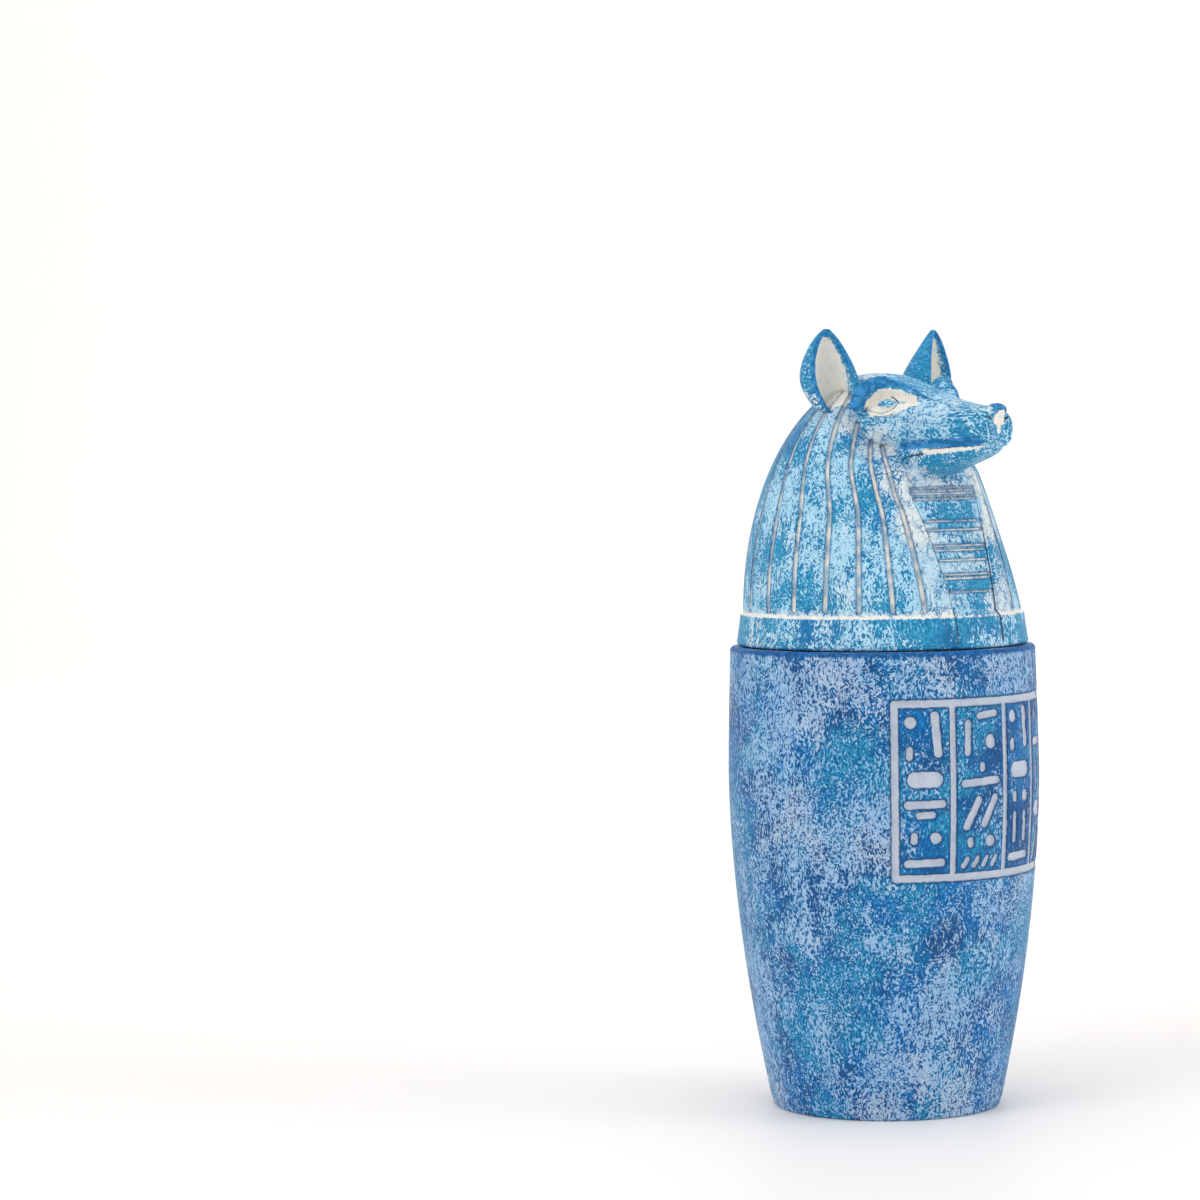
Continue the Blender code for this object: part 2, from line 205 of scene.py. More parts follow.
def vectorCalc(tree, operation, first, second):
    return addNode(tree, "ShaderNodeVectorMath", {0: first, 1: second}, operation=operation).outputs[0]


def scaleVector(tree, vector, amount):
    return addNode(tree, "ShaderNodeVectorMath", {0: vector, "Scale": amount}, operation="SCALE").outputs[0]


def stepBetween(tree, value, low, high, toLow=0.0, toHigh=1.0):  # a soft step, flat outside low and high
    inputs = {"Value": value, "From Min": low, "From Max": high, "To Min": toLow, "To Max": toHigh}
    return addNode(tree, "ShaderNodeMapRange", inputs, interpolation_type="SMOOTHSTEP").outputs[0]


def setInputs(modifier, values):  # by socket identifier, before the first evaluation
    for item in modifier.node_group.interface.items_tree:
        if item.item_type == "SOCKET" and item.in_out == "INPUT" and item.name in values:
            modifier[item.identifier] = values[item.name]


def startTree(kind, name, inputs, outputs):  # sockets as (name, kind of value, what it starts as)
    tree = bpy.data.node_groups.new(name, kind)
    for label, value, start in inputs:
        socket = tree.interface.new_socket(label, in_out="INPUT", socket_type="NodeSocket" + value)
        if start is not None:
            socket.default_value = start
    for label, value in outputs:
        tree.interface.new_socket(label, in_out="OUTPUT", socket_type="NodeSocket" + value)
    return tree, addNode(tree, "NodeGroupInput").outputs


def endTree(tree, geometry, material):
    real = addNode(tree, "GeometryNodeRealizeInstances", {"Geometry": geometry})
    painted = addNode(tree, "GeometryNodeSetMaterial", {"Geometry": real.outputs[0], "Material": material})
    addNode(tree, "NodeGroupOutput", {"Geometry": painted.outputs[0]})
    return tree


# Geometry Nodes: a profile turned round the axis, one row for each of its points


def makeTurnTree():
    tree, given = startTree("GeometryNodeTree", "turnProfile", (
        ("Geometry", "Geometry", None), ("Profile", "Object", None), ("Turns", "Object", None),
        ("Material", "Material", None)), [("Geometry", "Geometry")])
    lines = [addNode(tree, "GeometryNodeObjectInfo", {"Object": given[name]}).outputs["Geometry"]
             for name in ("Profile", "Turns")]
    counts = [addNode(tree, "GeometryNodeAttributeDomainSize", {"Geometry": line},
                      component="MESH").outputs[0] for line in lines]
    grid = addNode(tree, "GeometryNodeMeshGrid", {"Vertices X": counts[1], "Vertices Y": counts[0]})
    index = addNode(tree, "GeometryNodeInputIndex").outputs[0]
    row = calc(tree, "MODULO", index, counts[0])
    column = calc(tree, "FLOOR", calc(tree, "DIVIDE", index, counts[0]))
    place = addNode(tree, "GeometryNodeInputPosition").outputs[0]
    found = []
    for line, number in zip(lines, (row, column)):
        sample = addNode(tree, "GeometryNodeSampleIndex", {"Geometry": line, "Value": place, "Index": number},
                         data_type="FLOAT_VECTOR", domain="POINT")
        found.append(addNode(tree, "ShaderNodeSeparateXYZ", {0: sample.outputs[0]}).outputs)
    radius, height, turn = found[0]["X"], found[0]["Z"], found[1]["X"]
    across = calc(tree, "MULTIPLY", radius, calc(tree, "SINE", turn))
    ahead = calc(tree, "MULTIPLY", radius, calc(tree, "MULTIPLY", calc(tree, "COSINE", turn), -1.0))
    spot = addNode(tree, "ShaderNodeCombineXYZ", {"X": across, "Y": ahead, "Z": height}).outputs[0]
    moved = addNode(tree, "GeometryNodeSetPosition", {"Geometry": grid.outputs["Mesh"], "Position": spot})
    closed = addNode(tree, "GeometryNodeMergeByDistance", {"Geometry": moved.outputs[0], "Distance": 1e-6})
    smooth = addNode(tree, "GeometryNodeSetShadeSmooth", {"Geometry": closed.outputs[0]})
    return endTree(tree, smooth.outputs[0], given["Material"])


# Geometry Nodes: grooves carved along paths, each path edge with its own half width and depth.
# The signed distance to the groove's edge is kept in an attribute, in millimetres, for the paint.


def makeCarveTree():
    tree, given = startTree("GeometryNodeTree", "carveAlongPaths", (
        ("Geometry", "Geometry", None), ("Paths", "Object", None), ("Attribute", "String", "cutEdge"),
        ("Bank Width", "Float", 0.0004), ("Wobble", "Float", 0.0001), ("Wobble Scale", "Float", 900.0),
        ("Material", "Material", None)), [("Geometry", "Geometry")])
    paths = addNode(tree, "GeometryNodeObjectInfo", {"Object": given["Paths"]}).outputs["Geometry"]
    place = addNode(tree, "GeometryNodeInputPosition").outputs[0]
    spot = {"Sample Position": place}
    nearest = addNode(tree, "GeometryNodeSampleNearest", {"Geometry": paths, **spot}, domain="EDGE")
    near = addNode(tree, "GeometryNodeProximity", {0: paths, **spot}, target_element="EDGES")
    sizes = {}
    for name in ("halfWidth", "cutDepth"):
        own = addNode(tree, "GeometryNodeInputNamedAttribute", {"Name": name}, data_type="FLOAT")
        sizes[name] = addNode(
            tree, "GeometryNodeSampleIndex",
            {"Geometry": paths, "Value": own.outputs["Attribute"], "Index": nearest.outputs[0]},
            data_type="FLOAT", domain="EDGE").outputs[0]
    noise = addNode(tree, "ShaderNodeTexNoise", {"Vector": place, "Scale": given["Wobble Scale"]})
    centred = calc(tree, "SUBTRACT", noise.outputs[0], 0.5)
    wobble = calc(tree, "MULTIPLY", centred, calc(tree, "MULTIPLY", given["Wobble"], 2.0))
    edge = calc(tree, "ADD", calc(tree, "SUBTRACT", near.outputs["Distance"], sizes["halfWidth"]), wobble)
    bank = calc(tree, "MULTIPLY", given["Bank Width"], -1.0)
    share = stepBetween(tree, edge, 0.0, bank)
    depth = calc(tree, "MULTIPLY", calc(tree, "MULTIPLY", share, sizes["cutDepth"]), -1.0)
    normal = addNode(tree, "GeometryNodeInputNormal").outputs[0]
    shift = scaleVector(tree, normal, depth)
    inMillimetres = calc(tree, "MINIMUM", calc(tree, "MULTIPLY", edge, 1000.0), 9.0)
    kept = addNode(tree, "GeometryNodeStoreNamedAttribute",
                   {"Geometry": given["Geometry"], "Name": given["Attribute"], "Value": inMillimetres},
                   data_type="FLOAT", domain="POINT")
    moved = addNode(tree, "GeometryNodeSetPosition", {"Geometry": kept.outputs[0], "Offset": shift})
    return endTree(tree, moved.outputs[0], given["Material"])


def makePaths(name, paths):  # each path is (points, half width, depth)
    points, edges, halves, depths = [], [], [], []
    for line, half, depth in paths:
        first = len(points)
        points += [tuple(p) for p in line]
        for i in range(len(line) - 1):
            edges.append((first + i, first + i + 1))
            share = i / max(1, len(line) - 2)
            halves.append(half[0] + (half[1] - half[0]) * share if isinstance(half, tuple) else half)
            depths.append(depth)
    mesh = bpy.data.meshes.new(name)
    mesh.from_pydata(points, edges, [])
    for label, values in (("halfWidth", halves), ("cutDepth", depths)):
        mesh.attributes.new(label, "FLOAT", "EDGE").data.foreach_set("value", values)
    made = linkObject(name, mesh)
    made.hide_render = True
    return made


def carve(made, tree, name, paths, attribute, material, sizes=None):
    guide = makePaths(name, paths)
    modifier = made.modifiers.new(name, "NODES")
    modifier.node_group = tree
    setInputs(modifier, {"Paths": guide, "Attribute": attribute, "Material": material, **(sizes or {})})
    applyModifiers(made)
    bpy.data.objects.remove(guide)


def readPoints(mesh):  # places and normals
    found = [np.empty(len(mesh.vertices) * 3) for _ in range(2)]
    for name, values in zip(("co", "normal"), found):
        mesh.vertices.foreach_get(name, values)
    return [values.reshape(-1, 3) for values in found]


def setAttribute(made, name, values):
    mesh = made.data
    kept = mesh.attributes.get(name) or mesh.attributes.new(name, "FLOAT", "POINT")
    kept.data.foreach_set("value", np.asarray(values, np.float32))


def addRelief(made, name, rounds):  # how hollow (+) or proud (-) each point is, in millimetres
    mesh = made.data
    place, normal = readPoints(mesh)
    count = len(place)
    ends = np.empty(len(mesh.edges) * 2, np.int32)
    mesh.edges.foreach_get("vertices", ends)
    a, b = ends[0::2], ends[1::2]
    neighbours = np.maximum(np.bincount(a, minlength=count) + np.bincount(b, minlength=count), 1)[:, None]
    soft = place.copy()
    for _ in range(rounds):
        total = np.stack([np.bincount(a, soft[b, k], count) + np.bincount(b, soft[a, k], count)
                          for k in range(3)], axis=1)
        soft = 0.3 * soft + 0.7 * total / neighbours
    setAttribute(made, name, ((soft - place) * normal).sum(axis=1) * 1000)


# Paint: blue over pale resin, rubbed back so that the pale shows as broken grain

grainScales = {  # noise scales, for each millimetre
    "fine": 2.3,
    "even": 2.2,  # in places the fine grain has no streaks
    "coarse": 0.95,
    "clouds": 0.075,
    "turquoise": 0.055,
    "cover": 0.052,  # how much pale there is, from place to place
    "streaks": 0.22,
    "flakes": 0.62,
}

rubbedDefaults = {
    "Vector": (0, 0, 0),
    "Deep Blue": (0.002, 0.076, 0.25, 1),
    "Blue": (0.004, 0.185, 0.51, 1),
    "Turquoise": (0.022, 0.295, 0.53, 1),
    "Wash": (0.34, 0.55, 0.80, 1),
    "Bare": (0.84, 0.80, 0.74, 1),
    "Kept Blue": (0.045, 0.27, 0.60, 1),
    # dark lines: drawn ones, and partly painted shade at grooves and steps
    "Ink": (0.006, 0.03, 0.10, 1),
    "Groove Fill": 1.0,
    # how strong the painted shade and dark line at the grooves are
    "Groove Line": 0.8,
    "Turquoise Share": 0.4,
    "Wash Share": 0.5,
    "Patch Contrast": 0.1,
    "Grain Stretch": (1, 1, 0.5),
    "Cut Edge": 9.0,  # edges are signed distances in millimetres, and 9 is far away
    "Bare Edge": 9.0,
    "Blue Edge": 9.0,
    "Line Edge": 9.0,
    "Relief": 0.0,
    "Rubbed": 0.0,  # -1 keeps the blue, 1 is pale
}


def makeRubbedPaint():
    kinds = {1: "Float", 3: "Vector", 4: "Color"}
    tree, given = startTree("ShaderNodeTree", "rubbedPaint",
                            [(name, kinds[np.size(value)], value) for name, value in rubbedDefaults.items()],
                            (("Color", "Color"), ("Roughness", "Float"), ("Height", "Float")))
    deepBlue, blue, wash, bare, inkAndShade = (given[name] for name in ("Deep Blue", "Blue", "Wash", "Bare", "Ink"))
    cutEdge, grooveShade, rubbed = given["Cut Edge"], given["Groove Line"], given["Rubbed"]
    scales = grainScales

    def noise(vector, scale, detail=2.0, roughness=0.5, output=0):
        inputs = {"Vector": vector, "Scale": scale, "Detail": detail, "Roughness": roughness}
        return addNode(tree, "ShaderNodeTexNoise", inputs).outputs[output]

    def mix(factor, first, second):
        return addNode(tree, "ShaderNodeMix", {0: factor, 6: first, 7: second}, data_type="RGBA").outputs[2]

    def step(value, low, high, toLow=0.0, toHigh=1.0):
        return stepBetween(tree, value, low, high, toLow, toHigh)

    def plus(first, second, limit=False):
        return calc(tree, "ADD", first, second, limit=limit)

    def minus(first, second):
        return calc(tree, "SUBTRACT", first, second)

    def times(first, second):
        return calc(tree, "MULTIPLY", first, second)

    def most(first, second):
        return calc(tree, "MAXIMUM", first, second)

    def shifted(vector, amount):
        return vectorCalc(tree, "ADD", vector, amount)

    def stretched(vector, amount):
        return vectorCalc(tree, "MULTIPLY", vector, amount)

    def drift(vector, amount, scale, detail, roughness):  # moves a pattern about
        centred = vectorCalc(tree, "SUBTRACT", noise(vector, scale, detail, roughness, 1), (0.5, 0.5, 0.5))
        return scaleVector(tree, centred, amount)

    place = scaleVector(tree, given["Vector"], 1000.0)  # millimetres
    wavy = shifted(place, drift(place, 4.0, 0.11, 2.0, 0.5))

    def blotches(offset, scale, detail=2.0, roughness=0.5):  # a noise of its own, away from the others
        return noise(shifted(place, offset), scale, detail, roughness)

    # two colours of blue in clouds, with turquoise patches
    clouds = noise(wavy, scales["clouds"], 4.0, 0.6)
    colour = mix(step(clouds, 0.40, 0.60), deepBlue, blue)
    patches = blotches((40, 7, 21), scales["turquoise"], 4.0, 0.62)
    level = minus(0.72, times(given["Turquoise Share"], 0.45))
    colour = mix(step(minus(patches, level), -0.06, 0.08), colour, given["Turquoise"])

    # fine broken grain, streaked or even, its coverage in patches
    grainPlace = stretched(wavy, given["Grain Stretch"])
    evenPlace = stretched(shifted(wavy, (7, 7, 7)), (1.0, 1.0, 0.85))
    isEven = step(blotches((2, 44, 6), 0.06), 0.47, 0.56)
    streaked, even = noise(grainPlace, scales["fine"], 2.0, 0.6), noise(evenPlace, scales["even"], 2.0, 0.6)
    fine = addNode(tree, "ShaderNodeMix", {0: isEven, 2: streaked, 3: even}, data_type="FLOAT").outputs[0]
    coarse = noise(shifted(grainPlace, (5, 50, 9)), scales["coarse"], 2.0, 0.55)
    streakPlace = stretched(shifted(place, (9, 3, 80)), (1.0, 1.0, 0.28))
    cover = plus(times(noise(shifted(wavy, (3, 90, 30)), scales["cover"], 4.0, 0.6), 0.66),
                 times(noise(streakPlace, scales["streaks"], 3.0, 0.6), 0.34))
    cover = step(cover, 0.39, 0.61)
    grain = plus(times(fine, 0.70), times(coarse, 0.30))
    cut = calc(tree, "MULTIPLY_ADD", minus(0.5, cover), given["Patch Contrast"], 0.52)
    cut = minus(cut, times(minus(given["Wash Share"], 0.5), 0.28))
    # hollows and rubbed places hold more of the pale
    cut = minus(cut, times(step(given["Relief"], 0.02, 0.30), 0.10))
    cut = minus(cut, times(rubbed, 0.13))
    over = minus(grain, cut)
    isWash = step(over, -0.008, 0.014)
    strength = step(blotches((60, 2, 2), 0.5, 3.0, 0.6), 0.3, 0.65, 0.74, 1.0)
    specks = step(noise(shifted(grainPlace, (70, 4, 4)), 2.1, 1.0, 0.5), 0.58, 0.68, 1.0, 0.45)
    strength = most(times(strength, specks), step(rubbed, 0.2, 1.0, 0.0, 0.92))
    warm = step(blotches((31, 5, 5), 0.05, 3.0, 0.6), 0.48, 0.66, 0.0, 0.55)
    warm = most(warm, step(rubbed, 0.1, 1.0, 0.0, 0.7))
    colour = mix(step(fine, 0.53, 0.42, 0.0, 0.85), colour, deepBlue)
    colour = mix(step(over, -0.06, 0.02, 0.0, 0.22), colour, wash)
    colour = mix(times(isWash, strength), colour, mix(warm, wash, bare))

    # blue shows through fine cracks where the pale layer is thickest
    crackPlace = shifted(place, drift(shifted(place, (12, 6, 3)), 1.6, 1.1, 3.0, 0.65))
    flakes = addNode(tree, "ShaderNodeTexVoronoi", {"Vector": crackPlace, "Scale": scales["flakes"]},
                     feature="DISTANCE_TO_EDGE").outputs["Distance"]
    crack = times(step(flakes, 0.11, 0.03), step(rubbed, 0.1, 0.35))
    crack = times(crack, step(blotches((1, 9, 9), 0.4), 0.40, 0.60, 0.1, 0.8))
    colour = mix(crack, colour, blue)

    # deep blue kept on chosen ridges, and a painted shade of deep blue next to each groove
    wobble = times(minus(noise(place, 1.1, 3.0, 0.65), 0.5), 1.3)
    kept = step(plus(given["Blue Edge"], wobble), 0.35, -0.35)
    kept = times(kept, step(fine, 0.70, 0.58, 0.60, 1.0))
    colour = mix(kept, colour, mix(step(coarse, 0.42, 0.60), deepBlue, given["Kept Blue"]))
    beside = plus(cutEdge, times(wobble, 0.5))
    shade = times(step(beside, 0.55, 0.1, 0.0, 0.95), grooveShade)
    colour = mix(shade, colour, deepBlue)

    # hollows and grooves are filled with the bare colour, with a painted shade of deep blue towards a
    # groove's edges
    bareTone = mix(step(noise(place, 0.35, 4.0, 0.65), 0.52, 0.85), bare, wash)
    bareTone = mix(step(fine, 0.55, 0.72, 0.0, 0.12), bareTone, blue)
    colour = mix(step(plus(given["Bare Edge"], wobble), 0.12, -0.22), colour, bareTone)
    fill = plus(given["Groove Fill"], step(noise(place, 0.3), 0.40, 0.60, -0.3, 0.3), limit=True)
    inGroove = times(step(cutEdge, 0.0, -0.09), fill)
    # painted shade: deep blue just inside each groove's edge
    inner = times(step(cutEdge, -0.36, -0.04, 0.0, 0.5), grooveShade)
    colour = mix(inGroove, colour, mix(inner, bareTone, deepBlue))

    # a thin broken dark line along each groove's edge, partly painted shade, and the dark lines: some drawn,
    # some painted shade along the chest's step
    rim = calc(tree, "ABSOLUTE", plus(cutEdge, 0.02))
    broken = step(blotches((8, 8, 1), 0.9), 0.30, 0.60, 0.2, 1.0)
    line = times(times(step(rim, 0.16, 0.04), broken), grooveShade)
    colour = mix(line, colour, inkAndShade)
    colour = mix(step(given["Line Edge"], 0.06, -0.05, 0.0, 0.85), colour, inkAndShade)

    rough = step(isWash, 0.0, 1.0, 0.42, 0.60)
    lumps = times(noise(place, 0.22), 1.2)
    bumps = minus(plus(plus(times(fine, 0.8), coarse), lumps), times(crack, 0.5))
    addNode(tree, "NodeGroupOutput", {"Color": colour, "Roughness": rough, "Height": bumps})
    return tree


paintFinish = {"specular": 0.17, "bumpStrength": 0.6, "bumpHeight": 0.0004}


def makePaint(name, group, settings, attributes):
    material = bpy.data.materials.new(name)
    material.use_nodes = True
    tree = material.node_tree
    shader = tree.nodes["Principled BSDF"]
    place = addNode(tree, "ShaderNodeTexCoord").outputs["Object"]
    paint = addNode(tree, "ShaderNodeGroup", node_tree=group)
    tree.links.new(place, paint.inputs["Vector"])
    for socket, value in settings.items():
        if isinstance(value, tuple) and len(value) == 2:  # one value on the wig, the other on the head
            face = addNode(tree, "ShaderNodeAttribute", attribute_name="face").outputs["Fac"]
            kind, first = ("VECTOR", 4) if isinstance(value[0], tuple) else ("FLOAT", 2)
            blend = addNode(tree, "ShaderNodeMix", {0: face, first: value[0], first + 1: value[1]},
                            data_type=kind)
            tree.links.new(blend.outputs[1 if kind == "VECTOR" else 0], paint.inputs[socket])
        else:
            paint.inputs[socket].default_value = value
    for socket, attribute in attributes.items():
        known = addNode(tree, "ShaderNodeAttribute", attribute_name=attribute)
        tree.links.new(known.outputs["Fac"], paint.inputs[socket])
    bump = addNode(tree, "ShaderNodeBump", {"Height": paint.outputs["Height"],
                                            "Strength": paintFinish["bumpStrength"],
                                            "Distance": paintFinish["bumpHeight"]})
    tree.links.new(paint.outputs["Color"], shader.inputs["Base Color"])
    tree.links.new(paint.outputs["Roughness"], shader.inputs["Roughness"])
    tree.links.new(bump.outputs["Normal"], shader.inputs["Normal"])
    shader.inputs["Specular IOR Level"].default_value = paintFinish["specular"]
    return material


# Jar body


def bodyRadius(height):
    s = jarShape
    belly = s["bellyRadius"]
    if height < s["bellyHeight"]:
        return belly - (belly - s["baseRadius"]) * (1 - height / s["bellyHeight"]) ** s["footCurve"]
    rise = (height - s["bellyHeight"]) / (s["height"] - s["bellyHeight"])
    return belly - (belly - s["rimRadius"]) * clamp(rise) ** s["shoulderCurve"]


def onBody(along, height):
    return around(panelShape["turn"] + along / jarShape["bellyRadius"], bodyRadius(height), height)


def bodyProfile():
    s, p = jarShape, panelShape
    coarse, rounding = s["coarseStep"], s["edgeRound"]
    mouth = s["rimRadius"] - s["wall"]

    def corner(radius, height, steps, inward):  # a rounded edge, a quarter turn
        turns = [pi / 2 * k / steps for k in range(1, steps + 1)]
        if inward:
            return [(radius - rounding * (1 - cos(t)), height - rounding * (1 - sin(t))) for t in turns]
        return [(radius + rounding * (1 - sin(t)), height - rounding * (1 - cos(t))) for t in turns]

    profile = [(0, 0)] + [(r, 0) for r in spread(0.004, s["baseRadius"] - rounding, 0.004)]
    foot = [pi / 2 * k / 5 for k in range(1, 6)]
    profile += [(s["baseRadius"] - rounding * (1 - sin(t)), rounding * (1 - cos(t))) for t in foot]
    heights = spread(rounding, p["bottom"] - 0.001, coarse)[1:]
    heights += spread(p["bottom"] - 0.001, p["top"] + 0.001, s["fineStep"])[1:]
    heights += spread(p["top"] + 0.001, s["height"] - rounding, coarse)[1:]
    profile += [(bodyRadius(h), h) for h in heights]
    profile += corner(s["rimRadius"], s["height"], 6, True)
    profile += [(r, s["height"]) for r in spread(s["rimRadius"] - rounding, mouth + rounding, 0.0012)[1:]]
    profile += corner(mouth, s["height"], 6, False)
    for h in spread(s["height"] - rounding, s["floor"], 2 * coarse)[1:]:
        profile.append((min(mouth, bodyRadius(h) - s["wall"]), h))
    profile += [(r, s["floor"]) for r in spread(profile[-1][0], 0.004, 0.004)[1:]] + [(0, s["floor"])]
    return profile


def columnEdges():
    p = panelShape
    total = sum(p["columns"]) + 2 * p["border"] + (len(p["columns"]) - 1) * p["divider"]
    left, edges = p["border"] - total / 2, []
    for width in p["columns"]:
        edges.append((left, left + width))
        left += width + p["divider"]
    return edges


# Plain marks: (start, end, half width) in shares of the column's width and of the row's height
markStrokes = {
    "dotAndBlade": [((-0.28, 0.26), (-0.27, 0.24), 0.0014), ((-0.30, -0.24), (-0.30, -0.36), 0.0009),
                    ((0.20, 0.36), (0.26, -0.30), 0.0011)],
    "oval": [((-0.20, 0.0), (0.20, 0.0), 0.0019)],
    "barOnDash": [((-0.34, 0.16), (0.34, 0.18), 0.0010), ((-0.12, -0.20), (0.14, -0.18), 0.0009)],
    "twoDots": [((-0.22, 0.10), (-0.22, -0.08), 0.0009), ((0.20, 0.02), (0.21, 0.0), 0.0014)],
    "bar": [((-0.34, 0.0), (0.32, 0.02), 0.0010)],
    "dashAndDot": [((-0.26, 0.20), (-0.28, -0.34), 0.0009), ((-0.02, 0.32), (0.32, 0.36), 0.0009),
                   ((0.20, -0.14), (0.21, -0.18), 0.0015)],
    "tickOnBar": [((0.02, 0.36), (0.02, 0.24), 0.0008), ((-0.34, -0.20), (0.34, -0.14), 0.0010)],
    "slants": [((-0.30, -0.34), (-0.06, 0.30), 0.0010), ((0.06, -0.30), (0.30, 0.34), 0.0010)],
    "ticks": [((x - 0.04, -0.18), (x + 0.04, 0.18), 0.0007) for x in (-0.31, -0.1, 0.1, 0.31)],
    "uprights": [((x, 0.34), (x, -0.34), 0.0008) for x in (-0.22, 0.20)],
}
columnRows = (
    (("dotAndBlade", 0.34), ("oval", 0.18), ("barOnDash", 0.18), ("twoDots", 0.17), ("bar", 0.13)),
    (("dashAndDot", 0.33), ("tickOnBar", 0.19), ("slants", 0.24), ("twoDots", 0.12), ("ticks", 0.12)),
    (("dotAndBlade", 0.31), ("oval", 0.19), ("twoDots", 0.14), ("uprights", 0.23), ("bar", 0.13)),
    (("twoDots", 0.18), ("bar", 0.15), ("uprights", 0.25), ("oval", 0.18), ("slants", 0.24)),
)


def pathOnBody(start, end, step=0.001):
    length = sqrt((end[0] - start[0]) ** 2 + (end[1] - start[1]) ** 2)
    shares = spread(0, 1, min(1, step / max(length, step)))
    return [onBody(start[0] + (end[0] - start[0]) * t, start[1] + (end[1] - start[1]) * t) for t in shares]


def panelPaths():
    p, edges = panelShape, columnEdges()
    half = p["border"] / 2
    left, right = edges[0][0] - half, edges[-1][1] + half
    low, high = p["bottom"] + half, p["top"] - half
    corners = [(left, low), (right, low), (right, high), (left, high), (left, low)]
    paths = [(pathOnBody(a, b), half, p["depth"]) for a, b in zip(corners, corners[1:])]
    for (_, a), (b, _) in zip(edges, edges[1:]):
        middle = (a + b) / 2
        paths.append((pathOnBody((middle, low), (middle, high)), p["divider"] / 2, p["depth"]))
    innerTop = p["top"] - p["border"]
    innerHeight = innerTop - p["bottom"] - p["border"]
    for (a, b), rows in zip(edges, columnRows):
        middle, width, top = (a + b) / 2, b - a, innerTop
        for mark, share in rows:
            tall = share * innerHeight
            for start, end, halfWidth in markStrokes[mark]:
                ends = [(middle + x * width, top - tall / 2 + y * tall) for x, y in (start, end)]
                paths.append((pathOnBody(*ends), halfWidth, p["depth"]))
            top -= tall
    return paths


def fieldRubbing(x, y, z):
    p, edges = panelShape, columnEdges()
    along = (atan2(x, -y) - p["turn"]) * jarShape["bellyRadius"]
    inField = edges[0][0] < along < edges[-1][1] and p["bottom"] < z < p["top"]
    return p["fieldBlue"] if inField else 0.0


def makeJar(turnTree, carveTree, material):
    s, p = jarShape, panelShape
    profile = bpy.data.meshes.new("profile")
    profile.from_pydata([(r, 0, h) for r, h in bodyProfile()], [], [])
    reach = (sum(p["columns"]) / 2 + 2 * p["border"] + 2 * p["divider"]) / s["bellyRadius"]
    turns = spread(p["turn"] - reach, p["turn"] + reach, s["fineStep"] / s["bellyRadius"])
    turns += spread(turns[-1], turns[0] + 2 * pi, 1.1 * s["coarseStep"] / s["bellyRadius"])[1:]
    angles = bpy.data.meshes.new("turns")
    angles.from_pydata([(a, 0, 0) for a in turns], [], [])
    guides = [linkObject("jarProfile", profile), linkObject("jarTurns", angles)]
    jar = linkObject("jarBodyPainted", bpy.data.meshes.new("jarBodyPainted"))
    modifier = jar.modifiers.new("turnProfile", "NODES")
    modifier.node_group = turnTree
    setInputs(modifier, {"Profile": guides[0], "Turns": guides[1], "Material": material})
    applyModifiers(jar)
    for guide in guides:
        bpy.data.objects.remove(guide)
    turnFacesOut(jar.data)
    carve(jar, carveTree, "panelPaths", panelPaths(), "cutEdge", material, {"Wobble": p["wobble"]})
    rim = [around(a, s["rimRadius"], s["height"] - 0.0002) for a in spread(0, 2 * pi, 0.03)]
    carve(jar, carveTree, "rimLine", [(rim, 0.0009, 0.0)], "blueEdge", material)
    setAttribute(jar, "rubbed", [fieldRubbing(*v.co) for v in jar.data.vertices])
    addRelief(jar, "relief", 8)
    return jar


# Lid. Heights are above the seat.


def wigShare(height):
    s = lidShape
    return clamp((height - s["bandHeight"]) / (s["crownHeight"] - s["bandHeight"]))


def wigRadius(angle, height):
    s, share = lidShape, wigShare(height)
    foot = s["bandRadius"] - s["bandTaper"] - s["bandStep"]
    back = foot * sqrt(max(0, 1 - share * share))
    front = foot * (1 - s["frontLean"] * share ** s["frontCurve"])
    front = min(front * (1 - s["neckTuck"] * smoothStep((share - 0.58) / 0.24)), back)
    return front + (back - front) * smoothStep((abs(angle) - s["frontReach"]) / s["sideReach"])


def chestAngle(height):
    s = lidShape
    rise = clamp(wigShare(height) / s["chestTop"]) ** s["chestSpread"]
    half = s["chestHalfLow"] + (s["chestHalfHigh"] - s["chestHalfLow"]) * rise
    return min(asin(clamp(half / wigRadius(0, height), 0, 0.9)), s["chestWidest"])


def fan(angle, height):  # where a line that starts at an angle on the band has drifted to
    s, side = lidShape, 1 if angle >= 0 else -1
    low, now, angle = chestAngle(s["bandHeight"]), chestAngle(height), abs(angle)
    if angle <= low:
        return side * angle * now / low
    angle += (now - low) * exp((low - angle) / s["fanFade"])
    rise = smoothStep((wigShare(height) - 0.4) / 0.45)
    angle += s["crownTurn"] * rise * sin(angle)
    away = s["earSide"] - angle
    angle += away * s["earPull"] * rise * exp(-((away / s["earPullWidth"]) ** 2))
    return side * angle


def stripeAngles():
    s = lidShape
    last = s["stripesEachSide"] - 1
    growth = (pi - s["firstStripe"] - s["stripeStep"] * last) / last**2
    return [s["firstStripe"] + s["stripeStep"] * k + growth * k * k for k in range(last + 1)]


def wigColumns():  # (angle on the band, share of the chest's depth), finer beside each groove
    foot = lidShape["bandRadius"]
    fine, edge = lidShape["grooveStep"], chestAngle(lidShape["bandHeight"])
    stops = [0.0, edge - 0.0005 / foot, edge, edge + fine / foot]
    for angle in stripeAngles():
        stops += [angle + offset * fine / foot for offset in range(-3, 4)]
    stops = sorted(a for a in stops if a <= pi - 0.0001)
    columns = []
    for a, b in zip(stops, stops[1:] + [pi]):
        columns += spread(a, b, lidShape["columnStep"] / foot)[:-1]
    right = [(a, 1.0 if a < edge - 0.0002 / foot else 0.0) for a in columns[1:]]
    return [(-a, chest) for a, chest in reversed(right)] + [(0.0, 1.0)] + right + [(pi, 0.0)]


